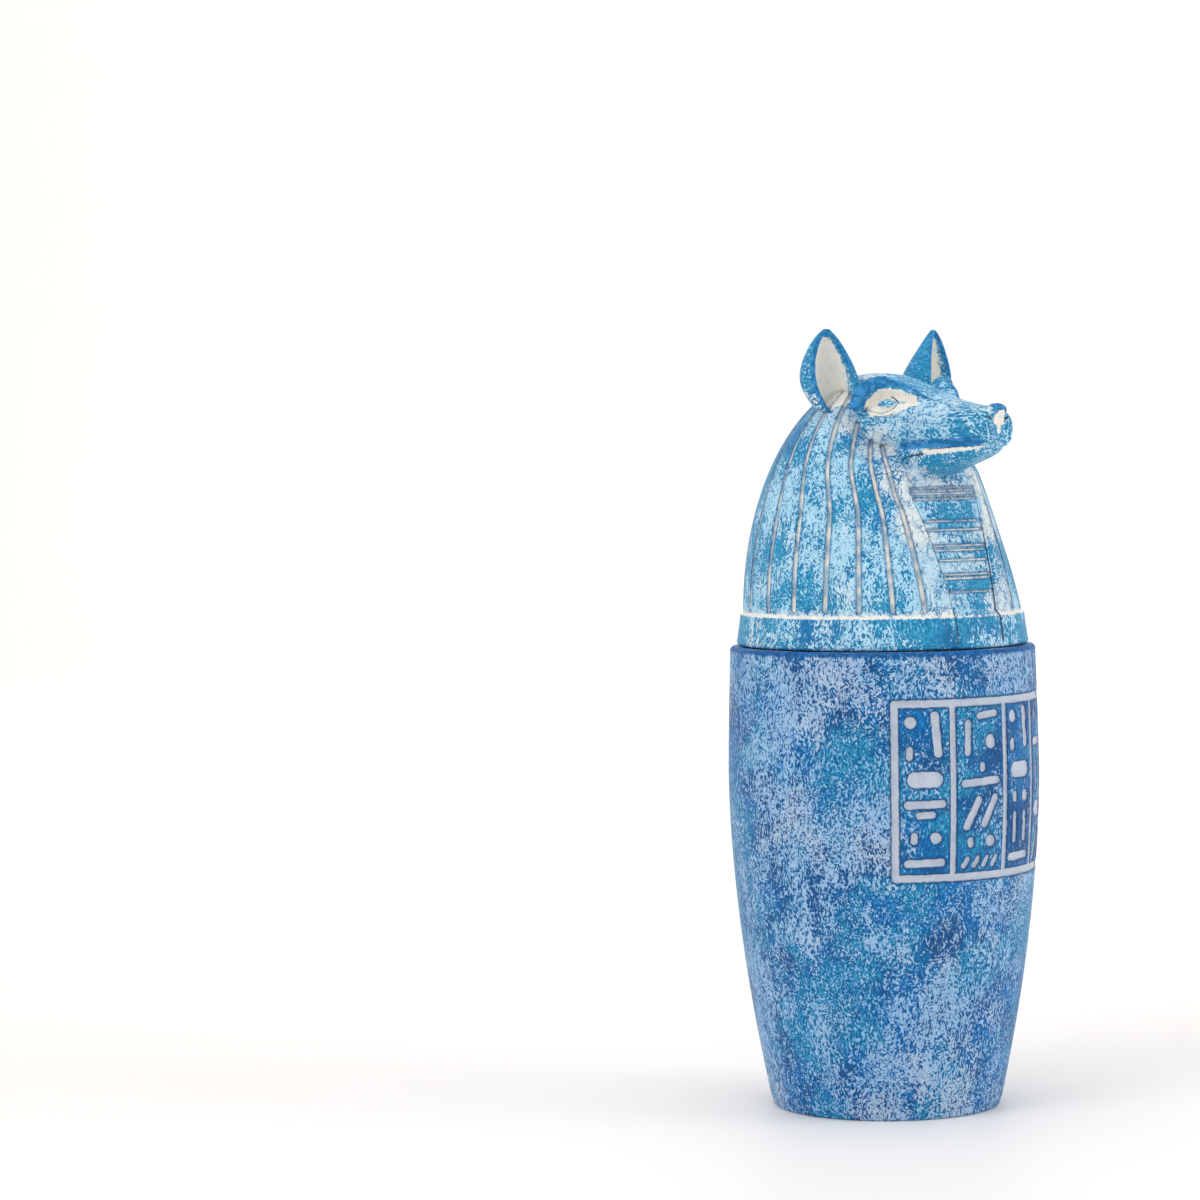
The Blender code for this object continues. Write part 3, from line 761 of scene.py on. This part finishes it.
def wigRing(columns, height, radius=None, relief=1.0):
    depth = lidShape["chestDepth"] * (1.0 if radius is None else 0.4) * relief
    ring = []
    for start, chest in columns:
        angle = fan(start, height)
        reach = wigRadius(angle, height) if radius is None else radius
        ring.append(around(angle, reach - depth * chest, lidBase + height))
    return ring


def makeWig():
    s, columns = lidShape, wigColumns()
    spigot = jarShape["rimRadius"] - jarShape["wall"] - s["spigotClearance"]
    bandTop, rounding = s["bandRadius"] - s["bandTaper"], jarShape["edgeRound"]
    rings = [wigRing(columns, -s["spigotLength"], r, 0) for r in (0.010, 0.020, spigot - s["spigotChamfer"])]
    low = s["spigotChamfer"] - s["spigotLength"]
    rings += [wigRing(columns, h, spigot, 0) for h in spread(low, 0, 0.0018)]
    rings.append(wigRing(columns, 0, s["bandRadius"] - rounding, 0))
    for k in range(1, 5):
        turn = pi / 2 * k / 4
        reach = s["bandRadius"] - rounding * (1 - sin(turn))
        rings.append(wigRing(columns, rounding * (1 - cos(turn)), reach, k / 4))
    for h in spread(rounding, s["bandHeight"] - 0.0004, 0.0006)[1:]:
        rings.append(wigRing(columns, h, s["bandRadius"] - s["bandTaper"] * h / s["bandHeight"]))
    rings.append(wigRing(columns, s["bandHeight"] - 0.0001, bandTop - 0.0002))
    rings.append(wigRing(columns, s["bandHeight"] + s["bandStep"] / 2, relief=0.3))
    tall = s["crownHeight"] - s["bandHeight"]
    shares = spread(s["bandStep"] * 2 / tall, 0.62, s["rowStep"] / tall)
    shares += [sin(u) for u in spread(asin(0.62), radians(88), radians(0.8))[1:]]
    for share in shares:
        relief = 1 - smoothStep((share - 0.84) / 0.12)
        rings.append(wigRing(columns, s["bandHeight"] + share * tall, relief=relief))
    return meshFromRings("wig", rings)


def atHead(forward, side, up):
    s = lidShape
    return Vector((side * s["headHalfWidth"], -forward * s["snoutReach"], lidBase + up * s["height"]))


# Head, in shares of the snout's reach, the head's half width and the lid's height
headShape = {
    # forward, underside, top, half width of the skull and upper muzzle
    "skull": (
        (-0.400, 0.600, 0.748, 0.600), (-0.253, 0.587, 0.824, 0.860), (-0.101, 0.580, 0.857, 0.985),
        (0.051, 0.574, 0.860, 1.000), (0.177, 0.582, 0.849, 0.924), (0.278, 0.594, 0.832, 0.826),
        (0.380, 0.601, 0.812, 0.720), (0.506, 0.611, 0.792, 0.621), (0.633, 0.617, 0.775, 0.561),
        (0.759, 0.620, 0.761, 0.515), (0.861, 0.622, 0.753, 0.492), (0.937, 0.623, 0.745, 0.460),
        (0.985, 0.640, 0.724, 0.330),
    ),
    "jaw": (
        (0.101, 0.464, 0.645, 0.850), (0.253, 0.484, 0.650, 0.765), (0.405, 0.509, 0.652, 0.650),
        (0.557, 0.536, 0.652, 0.550), (0.709, 0.563, 0.652, 0.462), (0.835, 0.585, 0.652, 0.405),
        (0.909, 0.604, 0.652, 0.340), (0.942, 0.620, 0.650, 0.230),
    ),
    # up, forward, side, half breadth, half depth of an ear
    "ear": (
        (0.694, 0.010, 0.860, 0.110, 0.150), (0.727, 0.004, 0.990, 0.270, 0.290),
        (0.768, 0.000, 1.090, 0.410, 0.410), (0.812, -0.004, 1.155, 0.500, 0.470),
        (0.850, -0.006, 1.190, 0.515, 0.450), (0.892, -0.004, 1.230, 0.460, 0.350),
        (0.935, 0.002, 1.262, 0.350, 0.230), (0.972, 0.008, 1.282, 0.215, 0.130),
        (1.000, 0.013, 1.285, 0.060, 0.050),
    ),
    "squareness": {"skull": 2.3, "jaw": 2.2},
    "earFacing": radians(19),
    "earBackFrom": radians(35),
    "earRim": 0.0011,
    # forward, side, up, thickness along a brow
    "brow": (
        (0.157, 0.930, 0.748, 0.150), (0.178, 0.920, 0.783, 0.180), (0.222, 0.830, 0.812, 0.170),
        (0.284, 0.690, 0.820, 0.145), (0.360, 0.570, 0.808, 0.120), (0.450, 0.460, 0.792, 0.090),
        (0.540, 0.350, 0.769, 0.040),
    ),
    # place, and half sizes in metres
    "eye": ((0.305, 0.67, 0.757), (0.0022, 0.0031, 0.0017)),
    "eyeTurn": radians(14),
    "lip": ((0.955, 0.20, 0.668), (0.0022, 0.0017, 0.0032)),
    "nose": ((0.968, 0, 0.738), (0.0027, 0.0019, 0.0016)),
    "finerAt": (0.29, 0.80, 0.762),  # smaller faces where the lids are drawn
    "finerReach": 0.0046,
    "earHollow": (0.735, 0.975),  # from and to, up
    "earWhiteBelow": 0.87,  # where the front edge runs into the forehead
    "voxel": 0.00036,
    "smoothing": 5,
}


def smoothRows(rows, steps):  # Catmull-Rom between rows of numbers
    rows = [np.array(row, float) for row in rows]
    rows = [2 * rows[0] - rows[1]] + rows + [2 * rows[-1] - rows[-2]]
    made = []
    for p0, p1, p2, p3 in zip(rows, rows[1:], rows[2:], rows[3:]):
        for k in range(steps):
            t = k / steps
            made.append(0.5 * (2 * p1 + (p2 - p0) * t + (2 * p0 - 5 * p1 + 4 * p2 - p3) * t**2
                               + (3 * p1 - p0 - 3 * p2 + p3) * t**3))
    return made + [rows[-2]]


def roundedForm(name):
    rings, squareness = [], headShape["squareness"][name]
    for forward, low, high, half in smoothRows(headShape[name], 5):
        ring = []
        for i in range(56):
            turn = 2 * pi * i / 56
            x, z = (abs(c) ** (2 / squareness) * (1 if c > 0 else -1) for c in (cos(turn), sin(turn)))
            ring.append(atHead(forward, half * x, (low + high) / 2 + (high - low) / 2 * z))
        rings.append(ring)
    return meshFromRings(name, rings)


def earFrame(side):
    facing = Vector((side * sin(headShape["earFacing"]), -cos(headShape["earFacing"]), 0))
    return facing, Vector((-facing.y, facing.x, 0))


def earRow(row):  # sizes of an ear at one height, in metres
    up, forward, out, breadth, depth = row
    breadth, depth = breadth * lidShape["headHalfWidth"], depth * lidShape["headHalfWidth"]
    turn = headShape["earBackFrom"]
    inner = max(breadth * cos(turn) - headShape["earRim"], breadth * 0.25)
    return up, forward, out, breadth, depth, inner, depth * sin(turn)


def earForm(name, side):
    facing, across = earFrame(side)
    turn = headShape["earBackFrom"]
    rows = smoothRows(headShape["ear"], 5)
    rings = []
    for i, row in enumerate(rows):
        up, forward, out, breadth, depth, inner, rim = earRow(row)
        hollow = depth * smoothStep(min(i, len(rows) - 1 - i) / 4)
        back = [turn - (pi + 2 * turn) * k / 35 for k in range(36)]
        outline = [(breadth * cos(t), depth * sin(t)) for t in back]
        outline += [(-inner * cos(pi * k / 19), rim - hollow * sin(pi * k / 19)) for k in range(20)]
        centre = atHead(forward, side * out, up)
        rings.append([centre + across * x + facing * y for x, y in outline])
    return meshFromRings(name, rings)


def tubeForm(name, rows, side):
    rows = smoothRows(rows, 4)
    points = [atHead(row[0], side * row[1], row[2]) for row in rows]
    rings = []
    for i, centre in enumerate(points):
        along = (points[min(i + 1, len(points) - 1)] - points[max(i - 1, 0)]).normalized()
        across = along.cross(Vector((0, 0, 1))).normalized()
        above = across.cross(along)
        thick = rows[i][3] * lidShape["headHalfWidth"]
        rings.append([centre + (across * cos(a) + above * sin(a)) * thick
                      for a in (2 * pi * k / 16 for k in range(16))])
    return meshFromRings(name, rings)


def pebble(name, side, turn=0.0):
    (forward, out, up), sizes = headShape[name]
    centre = atHead(forward, side * out, up)
    bm = bmesh.new()
    bmesh.ops.create_uvsphere(bm, u_segments=24, v_segments=16, radius=1)
    place = Matrix.Translation(centre) @ Matrix.Rotation(turn, 4, "Z") @ Matrix.Diagonal((*sizes, 1))
    bmesh.ops.transform(bm, matrix=place, verts=bm.verts)
    mesh = bpy.data.meshes.new(name)
    bm.to_mesh(mesh)
    bm.free()
    return linkObject(name, mesh)


def joinObjects(parts, name):
    bm = bmesh.new()
    for part in parts:
        bm.from_mesh(part.data)
        bpy.data.objects.remove(part)
    mesh = bpy.data.meshes.new(name)
    bm.to_mesh(mesh)
    bm.free()
    return linkObject(name, mesh)


def makeHead():
    parts = [roundedForm("skull"), roundedForm("jaw")]
    for side in (-1, 1):
        parts.append(earForm("ear", side))
        parts.append(tubeForm("brow", headShape["brow"], side))
        parts.append(pebble("eye", side, side * headShape["eyeTurn"]))
        parts.append(pebble("lip", side))
    parts.append(pebble("nose", 1))
    head = joinObjects(parts, "head")
    remesh = head.modifiers.new("oneSkin", "REMESH")
    remesh.mode, remesh.voxel_size = "VOXEL", headShape["voxel"]
    soften = head.modifiers.new("soften", "SMOOTH")
    soften.factor, soften.iterations = 0.5, headShape["smoothing"]
    return applyModifiers(head)


def groovePaths():
    s = lidShape
    angles = stripeAngles()
    paths = []
    top = s["bandHeight"] + 0.93 * (s["crownHeight"] - s["bandHeight"])
    for angle in angles + [-a for a in angles[:-1]]:
        line = []
        for h in spread(s["bandHeight"] + 0.0016, top, 0.0012):
            now = fan(angle, h)
            line.append(around(now, wigRadius(now, h), lidBase + h))
        paths.append((line, (s["stripeWidth"] / 2 - 0.00004, 0.0004), s["stripeDepth"]))
    return paths


def chestPaths():
    paths = []
    for up in lidShape["chestLines"]:
        h = up * lidShape["height"]
        reach = wigRadius(0, h) - lidShape["chestDepth"]
        half = chestAngle(h) - 0.0008 / reach
        line = [around(a, reach, lidBase + h) for a in spread(-half, half, 0.001 / reach)]
        paths.append((line, 0.00030, 0.00035))
    return paths


def ledgePath():  # the pale line where the wig stands on its band
    s = lidShape
    reach = s["bandRadius"] - s["bandTaper"] - 0.0003
    h = lidBase + s["bandHeight"] + 0.0002
    return [([around(a, reach, h) for a in spread(0, 2 * pi, 0.03)], 0.0005, 0.0)]


def chestStepShadePaths():  # the dark lines on either side of the chest, down through the band, partly painted shade along the chest's step
    s, paths = lidShape, []
    band = s["bandHeight"]
    for side in (-1, 1):
        line = []
        for h in spread(0.0012, band + 0.57 * (s["crownHeight"] - band), 0.001):
            angle = fan(side * chestAngle(band), h)
            reach = s["bandRadius"] - s["bandTaper"] * h / band if h < band else wigRadius(angle, h)
            deep = s["chestDepth"] * (0.4 if h < band else 1.0)
            line.append(around(angle - side * 0.0004 / reach, reach - deep, lidBase + h))
        paths.append((line, 0.00034, 0.0001))
    return paths


# Strokes on the head: kind, half width, depth, and (forward, side, up) along each one
faceStrokes = (
    # round the eye under the brow, and the mouth slit
    ("bare", (0.0017, 0.0013), 0.0003,
     ((0.227, 0.85, 0.761), (0.282, 0.73, 0.796), (0.373, 0.62, 0.791), (0.461, 0.51, 0.770))),
    ("bare", (0.0013, 0.0006), 0.0001,
     ((0.244, 0.84, 0.740), (0.345, 0.76, 0.739), (0.433, 0.60, 0.756), (0.500, 0.50, 0.760))),
    ("bare", (0.0008, 0.0003), 0.0008,
     ((0.559, 0.53, 0.611), (0.669, 0.48, 0.614), (0.779, 0.43, 0.617), (0.884, 0.36, 0.620),
      (0.943, 0.22, 0.628))),
    # deep blue, and raised: the brow in two parts, the lip's edge and the iris
    ("blue", (0.0021, 0.0016), -0.0007,
     ((0.190, 1.08, 0.762), (0.222, 1.04, 0.803), (0.269, 0.91, 0.827), (0.318, 0.75, 0.834))),
    ("blue", (0.0012, 0.0003), -0.0005,
     ((0.318, 0.75, 0.834), (0.387, 0.58, 0.824), (0.484, 0.46, 0.797), (0.560, 0.36, 0.780))),
    ("blue", (0.0011, 0.0014), -0.0003,
     ((0.393, 0.53, 0.630), (0.500, 0.47, 0.634), (0.640, 0.39, 0.638), (0.812, 0.36, 0.643),
      (0.935, 0.35, 0.648))),
    ("blue", 0.00022, -0.0002, ((0.305, 0.80, 0.7605), (0.328, 0.81, 0.7605))),
    # dark: upper lid and its fold, lower lid and its fold, the mouth's corner and edge, the nostril
    ("line", 0.0002, 0.00026,
     ((0.194, 0.90, 0.739), (0.228, 0.85, 0.770), (0.263, 0.74, 0.787), (0.304, 0.67, 0.790),
      (0.347, 0.63, 0.780), (0.377, 0.63, 0.767))),
    ("line", 0.00009, 0.00015,
     ((0.176, 0.92, 0.735), (0.222, 0.92, 0.772), (0.265, 0.82, 0.798), (0.310, 0.73, 0.804),
      (0.358, 0.66, 0.796), (0.385, 0.59, 0.777))),
    ("line", 0.00011, 0.00018,
     ((0.215, 0.87, 0.742), (0.272, 0.82, 0.734), (0.314, 0.78, 0.734), (0.368, 0.74, 0.743),
      (0.389, 0.68, 0.759))),
    ("line", 0.00007, 0.0001, ((0.254, 0.85, 0.725), (0.316, 0.78, 0.722), (0.382, 0.70, 0.737))),
    ("line", (0.0002, 0.0003), 0.0005,
     ((0.430, 0.62, 0.594), (0.471, 0.60, 0.598), (0.516, 0.57, 0.602), (0.570, 0.53, 0.609))),
    ("line", 0.00016, 0.0002,
     ((0.559, 0.53, 0.620), (0.669, 0.48, 0.624), (0.779, 0.43, 0.628), (0.884, 0.36, 0.633))),
    ("line", 0.00026, 0.0006, ((0.980, 0.16, 0.710), (0.965, 0.26, 0.716))),
)
middleStrokes = (  # the white below the nose, and the nose's blue
    ("bare", (0.0016, 0.0006), 0.0004, ((1.00, 0, 0.716), (1.00, 0, 0.695), (1.00, 0, 0.670))),
    ("blue", 0.0021, 0.0, ((0.95, 0, 0.76), (0.985, 0, 0.750), (1.01, 0, 0.738))),
)


def facePaths(tree):  # the strokes, laid on the skin
    found = {"bare": [], "blue": [], "line": []}
    strokes = [(kind, half, depth, smoothRows([(f, side * s, u) for f, s, u in rows], 4))
               for side in (-1, 1) for kind, half, depth, rows in faceStrokes]
    for kind, half, depth, rows in strokes + list(middleStrokes):
        found[kind].append(([tree.find_nearest(atHead(*row))[0] for row in rows], half, depth))
    return found


def earEdges(place, normal):  # signed distances to the ears' hollows and blue rims, in millimetres
    rows = np.array([earRow(row) for row in smoothRows(headShape["ear"], 3)])
    up = (place[:, 2] - lidBase) / lidShape["height"]
    hollow, rim = np.full(len(place), 9.0), np.full(len(place), 9.0)
    for side in (-1, 1):
        facing, across = earFrame(side)
        sizes = (np.interp(up, rows[:, 0], rows[:, k]) for k in range(1, 7))
        forward, out, breadth, depth, inner, rimLevel = sizes
        dx = place[:, 0] - side * out * lidShape["headHalfWidth"]
        dy = place[:, 1] + forward * lidShape["snoutReach"]
        x, y = dx * across.x + dy * across.y, dx * facing.x + dy * facing.y
        whiteEdge = (side * x < 0) & (up < headShape["earWhiteBelow"])
        x = np.abs(x)
        low, high = headShape["earHollow"]
        ends = np.maximum(low - up, up - high) * lidShape["height"] * 1000
        here = np.maximum((x - inner) * 1000 + 0.25, ends)
        turned = normal[:, 0] * facing.x + normal[:, 1] * facing.y
        inside = (y < rimLevel - 0.0002) & (y > -0.8 * depth) & ((turned > -0.1) | (x < 0.6 * inner))
        near = (side * place[:, 0] > 0.006) & (up > 0.71)
        hollow = np.where(near & inside, np.minimum(hollow, here), hollow)
        ridge = np.hypot(x - inner - 0.5 * headShape["earRim"], y - rimLevel) * 1000 - 0.8
        ridge = np.where(whiteEdge, 9.0, ridge)
        behind = np.where((turned < 0.1) & (x < breadth + 0.001) & (y < rimLevel), 0.1, 9.0)
        rim = np.where(near & (up > 0.72), np.minimum(rim, np.minimum(ridge, behind)), rim)
    return hollow, rim


# Where the pale shows (+) or the blue is kept (-): forward, side, up, reach in metres, amount
# the blue kept under the jaw is partly painted shade; at the lip it is the lip's own blue
rubZones = (
    (0.50, 0.0, 0.480, 0.0070, 1.0), (0.64, 0.0, 0.575, 0.0060, -0.8), (0.27, 0.90, 0.640, 0.0055, 1.0),
    (0.12, 0.90, 0.845, 0.0035, 1.0), (0.10, 1.10, 0.690, 0.0045, 1.0), (0.09, 0.50, 0.856, 0.0052, 0.9),
    (0.42, 0.95, 0.500, 0.0060, 1.0), (0.55, 0.85, 0.380, 0.0055, 1.0), (0.50, 0.52, 0.735, 0.0075, 0.42),
    (0.66, 0.45, 0.728, 0.0065, 0.38), (0.80, 0.42, 0.722, 0.0050, 0.3), (0.40, 0.85, 0.690, 0.0040, 0.5),
    (0.82, 0.38, 0.648, 0.0040, -0.8), (0.62, 0.45, 0.652, 0.0036, -0.7), (0.64, 0.45, 0.590, 0.0048, -0.7),
    (0.82, 0.35, 0.605, 0.0040, -0.7),
)
earBlue = -0.75


def headRubbing(place):
    pale, blue = np.zeros(len(place)), np.zeros(len(place))
    for forward, out, up, reach, amount in rubZones:
        for side in (-1, 1):
            away = np.linalg.norm(place - np.array(atHead(forward, side * out, up)), axis=1)
            near = amount * np.clip(1.3 - away / reach, 0, 1)
            pale, blue = np.maximum(pale, near), np.minimum(blue, near)
    foot = (place[:, 2] - lidBase - lidShape["bandHeight"]) * 1000  # just above the band
    pale = np.maximum(pale, np.where(foot > -0.2, np.clip(1.0 - foot / 2.2, 0, 0.8), 0))
    ears = (np.abs(place[:, 0]) > 0.0075) & (place[:, 2] > lidBase + 0.80 * lidShape["height"])
    return np.where(ears, earBlue, pale + blue)


def wigRubbing(x, y, z):  # bands of pale and blue down the chest, and the pale strip beside it
    height, angle = max(z - lidBase, 0), abs(atan2(x, -y))
    if wigShare(height) > 0.8:
        return 0.0
    edge = chestAngle(height)
    if angle < edge - 0.01:
        ups, amounts = zip(*lidShape["chestBands"])
        return float(np.interp(height / lidShape["height"], ups, amounts))
    if height < lidShape["bandHeight"]:
        return lidShape["bandBlue"]
    share = (angle - edge) / (fan(lidShape["firstStripe"], height) - edge)
    return lidShape["besideChestPale"] * (1 - smoothStep((share - 0.7) / 0.9))


def faceShare(x, y, z):  # 0 on the wig, 1 on the head that stands out of it
    if z <= lidBase + 0.03:
        return 0.0
    return smoothStep((sqrt(x * x + y * y) - wigRadius(np.arctan2(x, -y), z - lidBase)) / 0.0012)


def refineEyes(lid):
    bm = bmesh.new()
    bm.from_mesh(lid.data)
    forward, out, up = headShape["finerAt"]
    for side in (-1, 1):
        centre = atHead(forward, side * out, up)
        reach = headShape["finerReach"]
        near = [f for f in bm.faces if (f.calc_center_median() - centre).length < reach]
        edges = list({e for f in near for e in f.edges})
        bmesh.ops.subdivide_edges(bm, edges=edges, cuts=2, use_grid_fill=True)
    bm.to_mesh(lid.data)
    bm.free()


lidCarving = {
    "cutEdge": {"Bank Width": 0.0003, "Wobble": 0.00012},
    "bareEdge": {"Bank Width": 0.0012},
    "blueEdge": {"Bank Width": 0.0009},
    "lineEdge": {"Bank Width": 0.00015, "Wobble": 0.00003},
}


def makeLid(carveTree, material):
    lid, head = makeWig(), makeHead()
    union = lid.modifiers.new("joinHead", "BOOLEAN")
    union.operation, union.solver, union.object = "UNION", "MANIFOLD", head
    applyModifiers(lid)
    bpy.data.objects.remove(head)
    lid.name = "jackalLidPainted"
    print("lid joined:", len(lid.data.polygons), "faces")
    refineEyes(lid)
    strokes = facePaths(BVHTree.FromObject(lid, bpy.context.evaluated_depsgraph_get()))
    for name, attribute, paths in (
        ("wigGrooves", "cutEdge", groovePaths() + chestPaths()),
        ("bareHollows", "bareEdge", strokes["bare"] + ledgePath()),
        ("blueRidges", "blueEdge", strokes["blue"]),
        ("fineLines", "lineEdge", strokes["line"] + chestStepShadePaths()),
    ):
        carve(lid, carveTree, name, paths, attribute, material, lidCarving[attribute])
    place, normal = readPoints(lid.data)
    for name, edge in zip(("bareEdge", "blueEdge"), earEdges(place, normal)):
        kept = np.empty(len(place))
        lid.data.attributes[name].data.foreach_get("value", kept)
        setAttribute(lid, name, np.minimum(kept, edge))
    face = np.array([faceShare(*spot) for spot in place])
    setAttribute(lid, "face", face)
    wig = np.array([wigRubbing(*spot) for spot in place]) * (1 - face)
    setAttribute(lid, "rubbed", np.clip(headRubbing(place) + wig, -1, 1))
    addRelief(lid, "relief", 10)
    return lid


# Build


turnTree, carveTree = makeTurnTree(), makeCarveTree()
rubbedPaint = makeRubbedPaint()
jarLook = {
    "Bare": (0.57, 0.63, 0.73, 1),
    "Kept Blue": (0.010, 0.14, 0.43, 1),
    "Groove Fill": 1.2,
    "Turquoise Share": 0.48,
    "Wash Share": 0.5,
    "Grain Stretch": (1, 1, 0.55),
}
lidLook = {  # of two values the first is the wig's, the second the head's
    "Deep Blue": (0.010, 0.160, 0.37, 1),
    "Blue": (0.014, 0.22, 0.52, 1),
    "Turquoise": (0.035, 0.34, 0.57, 1),
    "Wash": (0.46, 0.74, 0.92, 1),
    "Bare": (0.93, 0.89, 0.80, 1),
    "Groove Fill": 0.62,
    # the painted shade at the grooves is weaker on the lid
    "Groove Line": 0.55,
    "Turquoise Share": 0.75,
    "Wash Share": (0.475, 0.48),
    "Patch Contrast": (0.20, 0.09),
    "Grain Stretch": ((1, 1, 0.5), (1, 0.3, 1)),
}
jarFields = {"Cut Edge": "cutEdge", "Blue Edge": "blueEdge", "Relief": "relief", "Rubbed": "rubbed"}
lidFields = {**jarFields, "Bare Edge": "bareEdge", "Line Edge": "lineEdge"}
jarPaint = makePaint("jarPaint", rubbedPaint, jarLook, jarFields)
lidPaint = makePaint("lidPaint", rubbedPaint, lidLook, lidFields)
jar = makeJar(turnTree, carveTree, jarPaint)
print("jar body made:", len(jar.data.polygons), "faces")
lid = makeLid(carveTree, lidPaint)
print("lid made:", len(lid.data.polygons), "faces")
for piece, node in ((jar, "jar_body"), (lid, "jackal_lid")):  # the frame's part of each name is hidden
    piece.data.shade_smooth()
    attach(piece, "root")
    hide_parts(node)


# Stage: a pale sweep, soft lamps and the photograph's camera

stageSetting = {
    "azimuth": radians(-43.1),
    "distance": 0.9149,
    "cameraHeight": 0.158,
    "focalPixels": 3934,
    "imagePixels": 1200,
    "jarAcross": 282,  # the jar stands this many pixels right of the middle
    "horizon": 171.8,  # the horizon is this many pixels above the middle
    "roll": radians(-0.75),
    "sweepWidth": 7.0,
    "paper": (0.975, 0.949, 0.93, 1),
    "paperRoughness": 0.55,
    "roomLight": 0.66,
}
lamps = (  # name, towards the camera, to the right, up, size, power, aim towards the camera and up
    ("keyLamp", 0.9, -0.9, 1.1, 0.9, 6.3, 0.0, 0.09),
    ("rightLamp", 0.2, 1.1, 0.5, 0.7, 3.2, 0.0, 0.09),
    ("topLamp", 0.0, 0.0, 1.6, 1.2, 5.5, 0.0, 0.09),
    ("sweepLamp", -1.0, 0.0, 1.9, 1.5, 17.0, -3.0, 0.9),
)


def makeSweep():
    az = stageSetting["azimuth"]
    ahead = Vector((-sin(az), cos(az), 0))
    across = Vector((cos(az), sin(az), 0))
    profile = [(-2.5, 0), (0, 0), (1.6, 0)]
    profile += [(1.6 + 1.2 * sin(a), 1.2 * (1 - cos(a))) for a in (pi / 2 * k / 12 for k in range(1, 13))]
    profile.append((2.8, 4.0))
    half = stageSetting["sweepWidth"] / 2
    points = [ahead * d + across * x + Vector((0, 0, z)) for d, z in profile for x in (-half, half)]
    faces = [(2 * i, 2 * i + 1, 2 * i + 3, 2 * i + 2) for i in range(len(profile) - 1)]
    mesh = bpy.data.meshes.new("sweep")
    mesh.from_pydata([tuple(p) for p in points], [], faces)
    mesh.shade_smooth()
    sweep = linkObject("sweep", mesh)
    material = bpy.data.materials.new("palePaper")
    material.use_nodes = True
    shader = material.node_tree.nodes["Principled BSDF"]
    shader.inputs["Base Color"].default_value = stageSetting["paper"]
    shader.inputs["Roughness"].default_value = stageSetting["paperRoughness"]
    mesh.materials.append(material)


def makeLights():
    az = stageSetting["azimuth"]
    towards = Vector((sin(az), -cos(az), 0))  # from the jar to the camera
    across = Vector((cos(az), sin(az), 0))
    for name, near, right, up, size, power, aimNear, aimUp in lamps:
        lamp = bpy.data.lights.new(name, "AREA")
        lamp.shape, lamp.size, lamp.energy = "DISK", size, power
        made = linkObject(name, lamp)
        made.location = towards * near + across * right + Vector((0, 0, up))
        aim = towards * aimNear + Vector((0, 0, aimUp)) - made.location
        made.rotation_euler = aim.to_track_quat("-Z", "Y").to_euler()
    world = bpy.data.worlds.new("paleRoom")
    bpy.context.scene.world = world
    world.use_nodes = True
    background = world.node_tree.nodes["Background"]
    background.inputs["Color"].default_value = (1, 1, 1, 1)
    background.inputs["Strength"].default_value = stageSetting["roomLight"]


def makeCamera():
    s = stageSetting
    az, focal = s["azimuth"], s["focalPixels"]
    data = bpy.data.cameras.new("photoCamera")
    data.sensor_width, data.lens = 36, 36 * focal / s["imagePixels"]
    data.clip_start, data.clip_end = 0.05, 20
    camera = linkObject("photoCamera", data)
    camera.location = (sin(az) * s["distance"], -cos(az) * s["distance"], s["cameraHeight"])
    yaw, pitch = atan(s["jarAcross"] / focal), atan(s["horizon"] / focal)
    look = Vector((-sin(az), cos(az), 0)) * cos(yaw) - Vector((cos(az), sin(az), 0)) * sin(yaw)
    look = look * cos(pitch) - Vector((0, 0, 1)) * sin(pitch)
    turn = look.to_track_quat("-Z", "Y") @ Quaternion((0, 0, 1), s["roll"])
    camera.rotation_mode = "QUATERNION"
    camera.rotation_quaternion = turn
    bpy.context.scene.camera = camera


makeSweep()
makeLights()
makeCamera()
bpy.context.scene.view_settings.view_transform = "Standard"
print("stage set")

bpy.context.view_layer.update()
